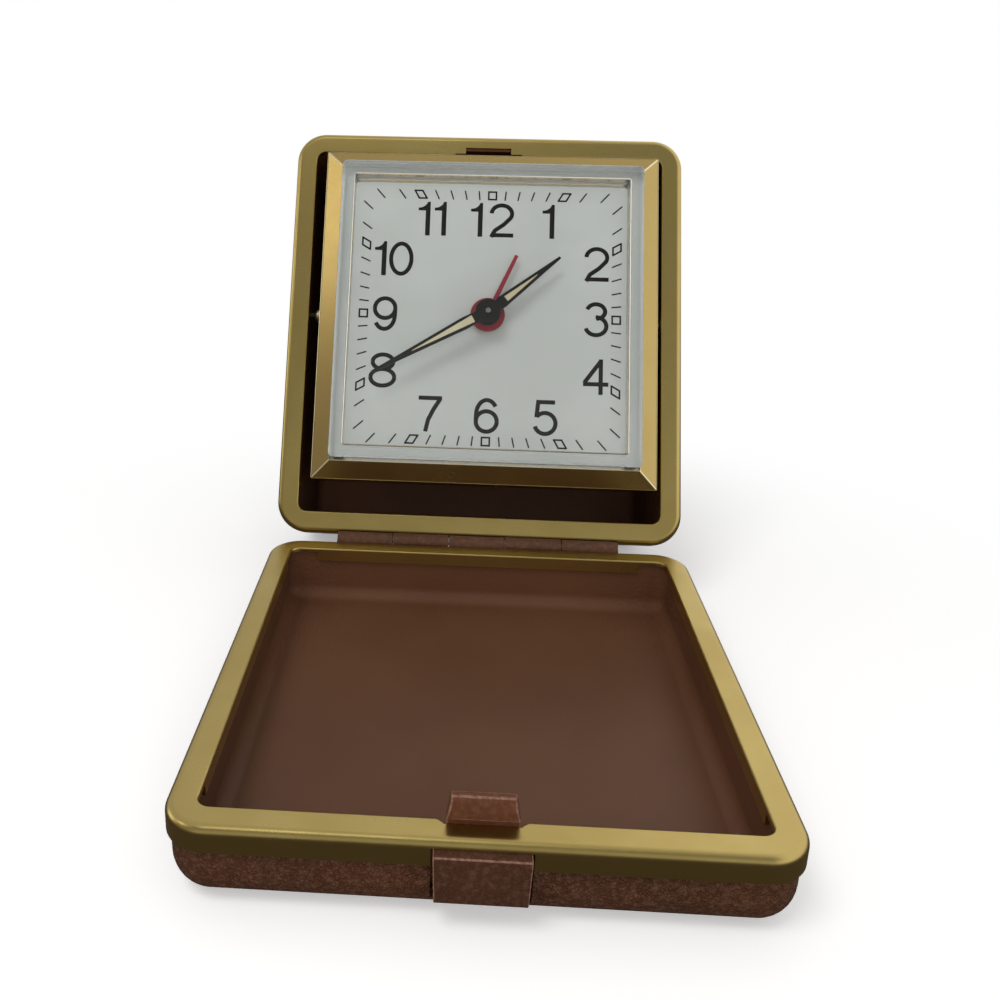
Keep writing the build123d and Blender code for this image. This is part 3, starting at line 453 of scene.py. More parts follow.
class Effects:
    """Builds each shared effect once."""

    def __init__(self) -> None:
        """Builds all the groups."""
        cloud = {"Scale": 0.08, "Low": 0.35, "High": 0.65}
        recipes = (
            (Effect.PEBBLE, self.pebble, {"Size": 1.6}, ("Height", "Crease")),
            (Effect.CLOUD, self.cloud, cloud, ("Patches",)),
            (Effect.SATIN, self.satin, {"Scale": 7.0}, ("Grain", "Streak")),
            (Effect.SPECKS, self.specks, {"Scale": 1.2, "Size": 0.12}, ("Specks",)),
            (Effect.CRINKLE, self.crinkle, {"Scale": 1.1}, ("Height",)),
        )
        self.groups = {recipe[0]: self.group(*recipe) for recipe in recipes}

    @staticmethod
    def group(
        effect: Effect,
        wire: Callable[[Wiring, Any], Sequence[Any]],
        inputs: dict[str, float],
        outputs: Sequence[str],
    ) -> bpy.types.NodeTree:
        """Builds one group, which has a vector input besides its number inputs.

        Args:
            effect: Which effect it is.
            wire: Wires the group's inputs and gives what its outputs get.
            inputs: Its number inputs and their usual values.
            outputs: Its outputs.

        Returns:
            The group.
        """
        tree = bpy.data.node_groups.new(effect.value, "ShaderNodeTree")
        tree.interface.new_socket("Vector", in_out="INPUT", socket_type="NodeSocketVector")
        for name, value in inputs.items():
            socket = tree.interface.new_socket(
                name, in_out="INPUT", socket_type="NodeSocketFloat"
            )
            socket.default_value = value
        for name in outputs:
            tree.interface.new_socket(name, in_out="OUTPUT", socket_type="NodeSocketFloat")
        w = Wiring(tree)
        given = tree.nodes.new("NodeGroupInput").outputs
        w.give(tree.nodes.new("NodeGroupOutput"), dict(enumerate(wire(w, given))))
        return tree

    @staticmethod
    def pebble(w: Wiring, given: Any) -> Sequence[Any]:
        """Wires the pebble grain of leatherette: rounded cells with creases between them."""
        drift = w.add("TexNoise", {"Vector": given[0], "Scale": 0.9, "Detail": 2.0})[1]
        push = w.vector("SCALE", {0: drift, 3: 0.9})[0]
        bent = w.vector("ADD", {0: given[0], 1: push})[0]
        values = {"Vector": bent, "Scale": given[1], "Randomness": 1.0}
        edges = w.add("TexVoronoi", values, feature="DISTANCE_TO_EDGE")[0]
        dome = w.spread(edges, 0.0, 0.32)
        height = w.math("MULTIPLY_ADD", w.noise(bent, 5.0, 3.0), 0.35, dome)
        return height, w.math("SUBTRACT", 1.0, w.spread(edges, 0.0, 0.14))

    @staticmethod
    def cloud(w: Wiring, given: Any) -> Sequence[Any]:
        """Wires soft uneven patches."""
        return (w.spread(w.noise(given[0], given[1], 4.0, 0.55), given[2], given[3]),)

    @staticmethod
    def satin(w: Wiring, given: Any) -> Sequence[Any]:
        """Wires the fine even grain of satin metal, with faint rubbed streaks."""
        stretch = w.map(given[0], Scale=(0.25, 3.2, 3.2))
        streak = w.spread(w.noise(stretch, 1.4, 3.0, 0.6), 0.3, 0.75)
        return w.noise(given[0], given[1], 2.0, 0.6), streak

    @staticmethod
    def specks(w: Wiring, given: Any) -> Sequence[Any]:
        """Wires a scatter of small specks."""
        spots = w.add("TexVoronoi", {"Vector": given[0], "Scale": given[1]})[0]
        patch = w.spread(w.noise(given[0], 0.11, 3.0, 0.6), 0.56, 0.7)
        return (w.math("MULTIPLY", w.math("LESS_THAN", spots, given[2]), patch),)

    @staticmethod
    def crinkle(w: Wiring, given: Any) -> Sequence[Any]:
        """Wires the fine crossed creases that vinyl gets where it is drawn round a corner."""
        ways = (
            w.map(given[0], Rotation=(0.3, 0.2, turn), Scale=(1.0, 0.35, 1.0))
            for turn in (0.7, -0.7)
        )
        return (w.math("MULTIPLY", *(w.noise(way, given[1], 2.0, 0.45) for way in ways)),)


@dataclass
class Surface:
    """A material on the bench: its wiring, its shader, the effects and the place in mm."""

    w: Wiring
    shader: bpy.types.Node
    effects: Effects
    place: Any

    def effect(self, effect: Effect, **values: float) -> Any:
        """Places a shared effect with its own values and gives its outputs."""
        node = self.w.tree.nodes.new("ShaderNodeGroup")
        node.node_tree = self.effects.groups[effect]
        self.w.give(node, {"Vector": self.place, **values})
        return node.outputs

    def cloud(self, scale: float, low: float = 0.35, high: float = 0.65) -> Any:
        """Places the cloud effect."""
        return self.effect(Effect.CLOUD, Scale=scale, Low=low, High=high)[0]

    def close(self, colour: Any, rough: Any, height: Any, depth: float, **rest: float) -> None:
        """Feeds the shader.

        Args:
            colour: The base colour.
            rough: The roughness.
            height: The height of the relief, from 0 to 1.
            depth: The depth of the relief in millimetres.
            **rest: Further inputs, with their spaces as underscores.
        """
        bump = self.w.add("Bump", {"Height": height, "Distance": depth * MM, "Strength": 1.0})
        values = {key.replace("_", " "): value for key, value in rest.items()}
        values.update({"Base Color": colour, "Roughness": rough, "Normal": bump[0]})
        self.w.give(self.shader, values)


@dataclass(frozen=True)
class Finish:
    """A surface finish. Each kind of finish builds its own material."""

    name: str
    slot: str

    def wire(self, s: Surface) -> None:
        """Wires the finish's own nodes to its shader."""
        raise NotImplementedError

    def material(self, effects: Effects) -> bpy.types.Material:
        """Builds the material, ready to be put on a piece."""
        made = bpy.data.materials.new(self.name)
        made.use_nodes = True
        w = Wiring(made.node_tree)
        place = w.map(w.add("TexCoord")["Object"], Scale=(1 / MM, 1 / MM, 1 / MM))
        self.wire(Surface(w, made.node_tree.nodes["Principled BSDF"], effects, place))
        return made


@dataclass(frozen=True)
class Leatherette(Finish):
    """Pebbled leatherette, with painted shade in its creases, rubbed pale in soft patches."""

    colour: Colour = tone(92, 52, 27)
    shade: Colour = tone(60, 34, 17)
    rubbed: Colour = tone(170, 130, 108)
    pebble: float = 1.7
    depth: float = 0.2
    rough: float = 0.55
    shine: float = 0.25
    patch: float = 0.5
    crease_shade: float = 0.6
    wear: float = 0.16

    def wire(self, s: Surface) -> None:
        """Wires the leatherette."""
        height, crease_shade = s.effect(Effect.PEBBLE, Size=self.pebble)
        body = s.w.blend(s.cloud(0.05, 0.3, 0.7), self.colour, self.shade, self.patch)
        # Painted shade: the creases between the pebbles are darkened towards the shade colour.
        body = s.w.blend(crease_shade, body, self.shade, self.crease_shade)
        colour = s.w.blend(s.cloud(1.3, 0.4, 0.75), body, self.rubbed, self.wear)
        rough = s.w.between(crease_shade, self.rough, self.rough + 0.2)
        s.close(colour, rough, height, self.depth, Specular_IOR_Level=self.shine)


@dataclass(frozen=True)
class LiningVinyl(Finish):
    """Smooth dark vinyl with a soft shine and crinkles towards the drawn corners."""

    colour: Colour = tone(104, 68, 46)
    shade: Colour = tone(92, 58, 38)
    dust: Colour = tone(150, 124, 108)
    rough: float = 0.42
    shine: float = 0.28
    depth: float = 0.25
    sides: Spot = (12.0, 36.0)
    rear: Spot = (8.0, 34.0)

    def wire(self, s: Surface) -> None:
        """Wires the lining."""
        w = s.w
        x, y, _ = w.add("SeparateXYZ", {0: s.place})
        side = w.spread(w.math("ABSOLUTE", x), *self.sides)
        corner = w.math("MULTIPLY", w.math("MAXIMUM", side, 0.35), w.spread(y, *self.rear))
        body = w.blend(s.cloud(0.03, 0.2, 0.8), self.shade, self.colour)
        specks = s.effect(Effect.SPECKS, Scale=0.9, Size=0.08)[0]
        crinkle = w.math("MULTIPLY", s.effect(Effect.CRINKLE, Scale=1.6)[0], corner)
        height = w.math("MULTIPLY_ADD", w.noise(s.place, 4.5, 2.0), 0.06, crinkle)
        rough = w.between(corner, self.rough, self.rough + 0.12)
        colour = w.blend(specks, body, self.dust, 0.16)
        s.close(colour, rough, height, self.depth, Specular_IOR_Level=self.shine)


@dataclass(frozen=True)
class SatinBrass(Finish):
    """Lacquered satin brass with fine grain, faint streaks, stains and bright specks."""

    colour: Colour = tone(200, 179, 114)
    stain: Colour = tone(182, 158, 92)
    bright: Colour = tone(240, 226, 178)
    rough: float = 0.28
    spots: float = 0.08
    grain: float = 0.006
    blotch: float = 0.6

    def wire(self, s: Surface) -> None:
        """Wires the brass."""
        w = s.w
        grain, streak = s.effect(Effect.SATIN, Scale=7.0)
        patches = s.cloud(0.06, 0.3, 0.7)
        specks = s.effect(Effect.SPECKS, Scale=1.5, Size=self.spots)[0]
        body = w.blend(patches, self.colour, self.stain, self.blotch)
        body = w.blend(streak, body, self.stain, 0.16)
        fine = w.between(grain, self.rough - 0.05, self.rough + 0.05)
        rough = w.math("MULTIPLY_ADD", patches, 0.05, fine)
        colour = w.blend(specks, body, self.bright, 0.4)
        s.close(colour, rough, grain, self.grain, Metallic=1.0)


@dataclass(frozen=True)
class Steel(Finish):
    """Drawn steel with fine streaks."""

    colour: Colour = tone(196, 196, 200)
    shade: Colour = tone(150, 150, 156)
    rough: float = 0.28
    grain: float = 0.004

    def wire(self, s: Surface) -> None:
        """Wires the steel."""
        grain, streak = s.effect(Effect.SATIN, Scale=5.0)
        rough = s.w.between(grain, self.rough - 0.06, self.rough + 0.1)
        colour = s.w.blend(streak, self.shade, self.colour)
        s.close(colour, rough, grain, self.grain, Metallic=1.0)


@dataclass(frozen=True)
class Paint(Finish):
    """Even paint with a hint of orange peel and dust."""

    colour: Colour = tone(216, 222, 219)
    shade: Colour = tone(210, 216, 213)
    dust: Colour = tone(120, 116, 108)
    rough: float = 0.45
    peel: float = 0.004
    shine: float = 0.5

    def wire(self, s: Surface) -> None:
        """Wires the paint."""
        specks = s.effect(Effect.SPECKS, Scale=1.3, Size=0.04)[0]
        body = s.w.blend(s.cloud(0.06), self.shade, self.colour)
        fine = s.w.noise(s.place, 3.0, 2.0)
        rough = s.w.between(fine, self.rough - 0.05, self.rough + 0.07)
        colour = s.w.blend(specks, body, self.dust, 0.12)
        s.close(colour, rough, fine, self.peel, Specular_IOR_Level=self.shine)


@dataclass(frozen=True)
class ClearPlastic(Finish):
    """Clear moulded plastic that lets the lamps through, with the faintest haze."""

    colour: Colour = (0.985, 0.985, 0.98)
    index: float = 1.49
    haze: Spot = (0.012, 0.02)

    def wire(self, s: Surface) -> None:
        """Wires the clear plastic."""
        values = {
            "Roughness": s.w.between(s.cloud(0.1), *self.haze),
            "Base Color": (*self.colour, 1.0),
            "Transmission Weight": 1.0,
            "IOR": self.index,
        }
        s.w.give(s.shader, values)
        clear = s.w.add("BsdfTransparent")[0]
        s.w.end(s.shader.outputs[0], clear, s.w.add("LightPath")["Is Shadow Ray"])


@dataclass
class Shop:
    """Keeps the frames, the effects and the finished materials, and hands pieces over."""

    frame: dict[str, Any]
    stand: Stand = field(default_factory=Stand)
    effects: Effects = field(default_factory=Effects)
    made: dict[str, bpy.types.Material] = field(default_factory=dict)
    flat_angle: float = 1.0
    edge_angle: float = 40.0

    def finish(self, finish: Finish) -> bpy.types.Material:
        """Gives a finish's material, which is built once."""
        if finish.name not in self.made:
            self.made[finish.name] = finish.material(self.effects)
        return self.made[finish.name]

    def dress(self, piece: Piece, finish: Finish, edge: Finish | None) -> None:
        """Puts a finish on a piece, and another one on its rounded edges where it has one."""
        finishes = (finish,) if edge is None else (finish, edge)
        if edge is None:
            piece.data.materials.clear()
        while len(piece.data.materials) < len(finishes):
            piece.data.materials.append(None)
        for index, each in enumerate(finishes):
            piece.data.materials[index] = self.finish(each)

    def deliver(
        self,
        piece: Piece,
        place: Place,
        body: str,
        finish: Finish,
        stands_for: Sequence[str] = (),
        angle: float = 35.0,
        edge: Finish | None = None,
    ) -> None:
        """Settles a finished piece on its body.

        Args:
            piece: The piece, in millimetres in its place's frame.
            place: The frame that it was modelled in.
            body: The body that it rides on.
            finish: Its finish.
            stands_for: The nodes that it replaces.
            angle: Edges below this angle in degrees are shaded smooth.
            edge: The finish of its rounded edges.
        """
        Bench.shade(piece, angle)
        Bench.settle(piece, Matrix.Scale(MM, 4) @ self.stand.frame(place))
        Bench.modify(piece, "WEIGHTED_NORMAL", keep_sharp=True)
        self.dress(piece, finish, edge)
        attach(piece, body)
        if stands_for:
            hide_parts(*stands_for)
        LOG.info("%s: %d faces, rides on %s", piece.name, len(piece.data.polygons), body)

    def refine(
        self, node: str, body: str, finish: Finish, width: float = 0.12, segments: int = 2
    ) -> None:
        """Copies a node, merges it and rounds its edges, and puts the copy in its place.

        Args:
            node: The node.
            body: Its body.
            finish: The copy's finish.
            width: Width of the rounding in millimetres.
            segments: Segments across it.
        """
        piece = bpy.data.objects.new(f"{node}_fine", self.frame["nodes"][node].data.copy())
        bpy.context.scene.collection.objects.link(piece)
        piece.data.transform(Matrix.Scale(1 / MM, 4))
        Bench.outward(piece)
        with Bench.edit(piece):
            bpy.ops.mesh.dissolve_limited(angle_limit=math.radians(self.flat_angle))
        Bench.soften(piece, width, segments, self.edge_angle)
        self.deliver(piece, Place.ROOM, body, finish, (node,), self.edge_angle)

    def keep(self, node: str, finish: Finish) -> None:
        """Keeps a node as it is and gives it a finish."""
        piece = self.frame["nodes"][node]
        if not piece.material_slots:
            piece.data.materials.append(None)
        for held in piece.material_slots:
            held.material = self.finish(finish)
        LOG.info("%s: kept, with the finish %s", node, finish.name)


CASE_BRASS = SatinBrass("case brass", "rim_brass")
BEZEL_BRASS = SatinBrass(
    "bezel brass", "bezel_brass", tone(192, 168, 108), tone(180, 156, 96),
    rough=0.22, spots=0.05, grain=0.003, blotch=0.4,
)
# Painted highlight: a near-white brass on the bezel's rounded edges draws them as bright lines.
EDGE_HIGHLIGHT_BRASS = SatinBrass(
    "painted edge highlight", "bezel_brass", tone(252, 240, 198), tone(244, 228, 178),
    rough=0.2, grain=0.002,
)
PIVOT_BRASS = SatinBrass(
    "pivot brass", "pivot_brass", tone(236, 224, 188), tone(224, 208, 164), rough=0.34
)
KEY_BRASS = SatinBrass("key brass", "key_brass", tone(216, 184, 112), rough=0.2)
PLATE_BRASS = SatinBrass("movement brass", "movement_brass", tone(222, 194, 122), rough=0.3)
CAN_LACQUER = SatinBrass(
    "can lacquer", "can_metal", tone(190, 166, 106), tone(160, 138, 86), rough=0.34
)
SHELL_SKIN = Leatherette("shell leatherette", "leatherette")
CATCH_SKIN = Leatherette(
    "catch vinyl", "latch_vinyl", tone(98, 56, 32), tone(82, 46, 25), tone(160, 116, 92),
    pebble=0.9, depth=0.02, rough=0.4, crease_shade=0.15,
)
BUTTON_SKIN = Leatherette(
    "button leatherette", "latch_vinyl", tone(80, 46, 26), tone(56, 31, 17), tone(150, 110, 90),
    pebble=2.4, depth=0.05, rough=0.42, crease_shade=0.5,
)
RUBBED_EDGE = Leatherette(
    "rubbed vinyl edge", "latch_vinyl", tone(138, 98, 80), tone(98, 62, 48), tone(206, 178, 158),
    pebble=1.3, depth=0.02, rough=0.5, patch=0.2, crease_shade=0.8,
)
HINGE_SKIN = Leatherette(
    "hinge leatherette", "latch_vinyl", tone(94, 62, 44), tone(72, 46, 32), tone(160, 128, 114),
    pebble=3.0, depth=0.03, rough=0.34, crease_shade=0.3,
)
LINING = LiningVinyl("lining vinyl", "lining_vinyl")
CLEAR = ClearPlastic("clear crystal", "crystal_clear")
DIAL_WHITE = Paint("dial white", "dial_paint")
PRINT_BLACK = Paint(
    "print black", "hand_black", tone(7, 8, 8), tone(5, 6, 6), rough=0.7, shine=0.05
)
HAND_BLACK = Paint(
    "hand black", "hand_black", tone(8, 8, 8), tone(5, 5, 5), rough=0.36, shine=0.2
)
HAND_CREAM = Paint("hand cream", "hand_black", tone(226, 218, 184), tone(212, 202, 166), rough=0.6)
HAND_RED = Paint(
    "hand red", "hand_red", tone(168, 40, 58), tone(150, 34, 50), rough=0.4, shine=0.3
)
BRIGHT_STEEL = Steel("bright steel", "steel")
# Painted shade: the pivot pin gets a dark brownish colour so that it sinks into the shade of the
# recess.
PIN_SHADE_STEEL = Steel("pin steel in painted shade", "pivot_brass", tone(70, 62, 50), tone(52, 46, 38), rough=0.5)
BLUED_STEEL = Steel("blued steel", "spring_steel", tone(92, 100, 124), tone(62, 68, 88), rough=0.24)


@dataclass
class CaseHalf:
    """One half of the case: its rim, shell and lining. Lengths are in millimetres."""

    shop: Shop
    place: Place
    body: str
    name: str
    height: float
    edge: float
    lining_edge: float
    width: float = 80.0
    depth: float = 83.7
    offset: float = 0.9
    relief: float = 0.1
    sheet: float = 0.5
    flat: float = 4.2
    corner: float = 6.0
    corner_steps: int = 16
    roll: float = 1.2
    roll_steps: int = 7
    lip: float = 0.3
    lip_steps: int = 3
    skirt: float = 3.6
    flange: float = 2.5
    flange_relief: float = 5.0
    shell_inset: float = 0.55
    shell_wall: float = 1.2
    draft: float = 0.6
    edge_steps: int = 12
    lining_gap: float = 1.05
    lining_wall: float = 0.8
    seat: float = 0.05
    knuckle_reach: float = 27.65
    knuckle_room: Spot = (-2.0, 1.5)
    knuckle_levels: Spot = (-8.0, 2.0)
    beyond: float = 1.0
    near: float = 0.01
    pan_merge: float = 0.002
    sharp_below: float = 0.5

    @property
    def front(self) -> float:
        """Distance of the front edge from the hinge line."""
        return self.offset + self.depth

    @property
    def lining_inset(self) -> float:
        """How far the lining stands in from the rim's outline."""
        return self.shell_inset + self.shell_wall + self.lining_gap

    def on_outline(self, point: Vector, inset: float) -> bool:
        """Says whether a point is on the rim's outline at an inset."""
        half_x = self.width / 2 - inset
        half_y = self.depth / 2 - inset
        x, y = abs(point.x), abs(point.y)
        if x > half_x - self.near or y > half_y - self.near:
            return True
        radius = max(self.corner - inset, 0.0)
        away = math.hypot(x - half_x + radius, y - half_y + radius)
        in_corner = x > half_x - radius and y > half_y - radius
        return in_corner and abs(away - radius) < 2 * self.near

    def pick_loop(self, piece: Piece, inset: float, test: Callable[[Any], bool]) -> None:
        """Selects the top edges at an inset from the outline that pass a test."""

        def wanted(edge: Any) -> bool:
            places = [v.co for v in edge.verts]
            level = all(abs(co.z) < self.near for co in places)
            return level and all(self.on_outline(co, inset) for co in places) and test(edge)

        Bench.pick(piece, Kind.EDGES, wanted)

    def round_loop(self, piece: Piece, inset: float, radius: float, steps: int) -> None:
        """Rounds the top edge loop that lies at an inset from the outline."""

        def sharp(edge: Any) -> bool:
            faces = edge.link_faces
            if len(faces) != 2:
                return False
            return abs(faces[0].normal.dot(faces[1].normal)) < self.sharp_below

        self.pick_loop(piece, inset, sharp)
        bpy.ops.mesh.bevel(offset=radius, offset_type="OFFSET", segments=steps, affect="EDGES")

    def rim(self) -> Piece:
        """Models the stamped rim with its rolled edge, skirt and inner flange."""
        corner = (self.corner, self.corner_steps)
        piece = Bench.plate(f"{self.name}_rim_fine", self.width, self.depth, *corner)
        with Bench.edit(piece):
            bpy.ops.mesh.inset(thickness=self.flat, use_even_offset=True)
            Bench.extrude((0.0, 0.0, -self.flange))
            bpy.ops.mesh.delete(type="FACE")
            self.pick_loop(piece, 0.0, lambda e: len(e.link_faces) == 1)
            Bench.extrude((0.0, 0.0, -self.skirt), True)
            self.round_loop(piece, 0.0, self.roll, self.roll_steps)
        Bench.outward(piece)
        Bench.face_up(piece)
        Bench.thicken(piece, self.sheet)
        with Bench.edit(piece):
            self.round_loop(piece, self.flat, self.lip, self.lip_steps)
        self.relieve_flange(piece)
        Bench.shift(piece, (0.0, self.offset + self.depth / 2, -self.relief))
        Bench.carve(piece, self.knuckle_reach, self.knuckle_room, self.knuckle_levels)
        return piece

    def relieve_flange(self, piece: Piece) -> None:
        """Cuts the inner flange back near the corners, where it is stamped away."""
        levels = (-self.flange - self.beyond, -self.sheet - self.lip)
        for x in (-1, 1):
            for y in (-1, 1):
                ways = ((x, self.width), (y, self.depth))
                ranges = (
                    tuple(sorted(way * (size / 2 - self.flat + step) for step in self.relief_steps))
                    for way, size in ways
                )
                Bench.carve(piece, *ranges, levels)

    @property
    def relief_steps(self) -> Spot:
        """How far the flange's relief goes in and out from the inner edge."""
        return -self.flange_relief, self.sheet + self.seat

    def pan(
        self, name: str, inset: float, top: float, height: float, edge: float, wall: float
    ) -> Piece:
        """Models a drawn pan with drafted walls and a rounded floor.

        Args:
            name: The piece's name.
            inset: How far its wall stands in from the rim's outline.
            top: Depth of its open edge under the rim.
            height: Its own height.
            edge: Radius between wall and floor.
            wall: Thickness.

        Returns:
            The pan.
        """
        width, depth = self.width - 2 * inset, self.depth - 2 * inset
        lean = height * math.tan(math.radians(self.draft))
        piece = Bench.plate(name, width, depth, self.corner - inset, self.corner_steps)
        with Bench.edit(piece):
            Bench.extrude((0.0, 0.0, -height))
            bpy.ops.transform.resize(value=(1 - 2 * lean / width, 1 - 2 * lean / depth, 1.0))
            Bench.pick(
                piece,
                Kind.EDGES,
                lambda e: all(v.co.z < self.near - height for v in e.verts)
                and len(e.link_faces) == 2,
            )
            bpy.ops.mesh.bevel(
                offset=edge,
                offset_type="OFFSET",
                segments=self.edge_steps,
                affect="EDGES",
                clamp_overlap=True,
            )
            Bench.pick(piece, Kind.FACES, lambda f: f.calc_center_median().z > -self.near)
            bpy.ops.mesh.delete(type="ONLY_FACE")
        Bench.outward(piece, self.pan_merge)
        with Bench.edit(piece):
            mesh = bmesh.from_edit_mesh(piece.data)
            mesh.normal_update()
            if min(mesh.faces, key=lambda f: f.calc_center_median().z).normal.z > 0:
                bpy.ops.mesh.flip_normals()
        Bench.thicken(piece, wall)
        Bench.shift(piece, (0.0, self.offset + self.depth / 2, -self.relief - top))
        return piece

    def build(self) -> None:
        """Builds and delivers this half's rim, leatherette shell and vinyl lining."""
        rim = self.rim()
        top = self.roll + self.seat
        room = (self.shell_inset, top, self.height - top, self.edge, self.shell_wall)
        shell = self.pan(f"{self.name}_shell_fine", *room)
        top = self.sheet + self.seat
        height = self.height - self.shell_wall - top
        room = (self.lining_inset, top, height, self.lining_edge, self.lining_wall)
        lining = self.pan(f"{self.name}_lining_fine", *room)
        self.fit(rim, shell, lining)
        pairs = ((rim, CASE_BRASS, "rim"), (shell, SHELL_SKIN, "shell"), (lining, LINING, "lining"))
        for piece, finish, node in pairs:
            self.shop.deliver(piece, self.place, self.body, finish, (f"{self.name}_{node}",))

    def fit(self, rim: Piece, shell: Piece, lining: Piece) -> None:
        """Cuts the openings that this half's latch and pivots need."""
        raise NotImplementedError

    def open_lining(self, lining: Piece, half: float, depth: float) -> None:
        """Cuts a window into the lining's front wall."""
        inner = self.front - self.lining_inset - 2 * self.lining_wall
        Bench.carve(lining, half, (inner, self.front), (-depth, self.beyond))


@dataclass
class BaseHalf(CaseHalf):
    """The flat half, with its notch for the catch and its slot for the button."""

    notch: float = 4.85
    notch_inset: float = 3.15
    chamfer: float = 1.1
    slot: float = 6.25
    slot_top: float = 1.25
    slot_bottom: float = 9.55
    shell_clear: float = 0.6
    wedge_lap: Spot = (0.2, 0.6)
    wedge_levels: Spot = (-3.5, 1.5)
    window: Spot = (8.2, 7.3)

    def fit(self, rim: Piece, shell: Piece, lining: Piece) -> None:
        """Cuts the catch's notch, the button's slot and the lining's window."""
        inner, outer = self.front - self.flat, self.front + self.beyond
        under = -self.skirt - self.beyond
        notch = (inner - self.beyond, self.front - self.notch_inset)
        Bench.carve(rim, self.notch, notch, (under, self.beyond))
        for side in (-1, 1):
            close = side * (self.notch - self.wedge_lap[0])
            wide = side * (self.notch + self.chamfer)
            back = inner - self.wedge_lap[1]
            points = [(close, back), (wide, back), (wide, inner), (close, inner + self.chamfer)]
            low, high = self.wedge_levels
            wedge = Bench.prism("wedge", points if side > 0 else points[::-1], high - low)
            Bench.shift(wedge, (0.0, 0.0, low))
            Bench.cut(rim, wedge)
        skin = (self.front - self.sheet - self.seat, outer)
        Bench.carve(rim, self.slot, skin, (under, -self.slot_top))
        wall = (self.front - self.shell_inset - self.shell_wall - self.shell_clear, outer)
        Bench.carve(shell, self.slot, wall, (-self.slot_bottom, self.beyond))
        self.open_lining(lining, *self.window)


@dataclass
class UpperHalf(CaseHalf):
    """The deep half, with the keeper's stepped notch and the pivots' holes."""

    notch: Spot = (4.7, 1.6)
    step: Spot = (6.9, 0.3)
    head_rise: float = 45.4
    pivot_depth: float = 1.7
    pivot_hole: float = 0.77
    lining_hole: float = 1.0
    pocket: Spot = (6.15, 7.3)

    def fit(self, rim: Piece, shell: Piece, lining: Piece) -> None:
        """Cuts the keeper's notch and pocket and the pivots' holes."""
        inner = self.front - self.flat
        under = -self.skirt - self.beyond
        for half, deep in (self.notch, self.step):
            ys = (inner - self.beyond, inner + deep)
            Bench.carve(rim, half, ys, (under, self.beyond))
        ys = (inner - self.beyond, inner + self.sheet + self.seat)
        Bench.carve(rim, self.step[0], ys, (under, -self.sheet - self.relief))
        self.open_lining(lining, *self.pocket)
        for piece, radius, inset in (
            (rim, self.pivot_hole, self.flat / 2),
            (lining, self.lining_hole, 0.0),
        ):
            reach = self.width / 2 - inset
            ends = ((x, self.head_rise, -self.pivot_depth) for x in (-reach, reach))
            Bench.cut(piece, Bench.rod("drill", radius, *ends))


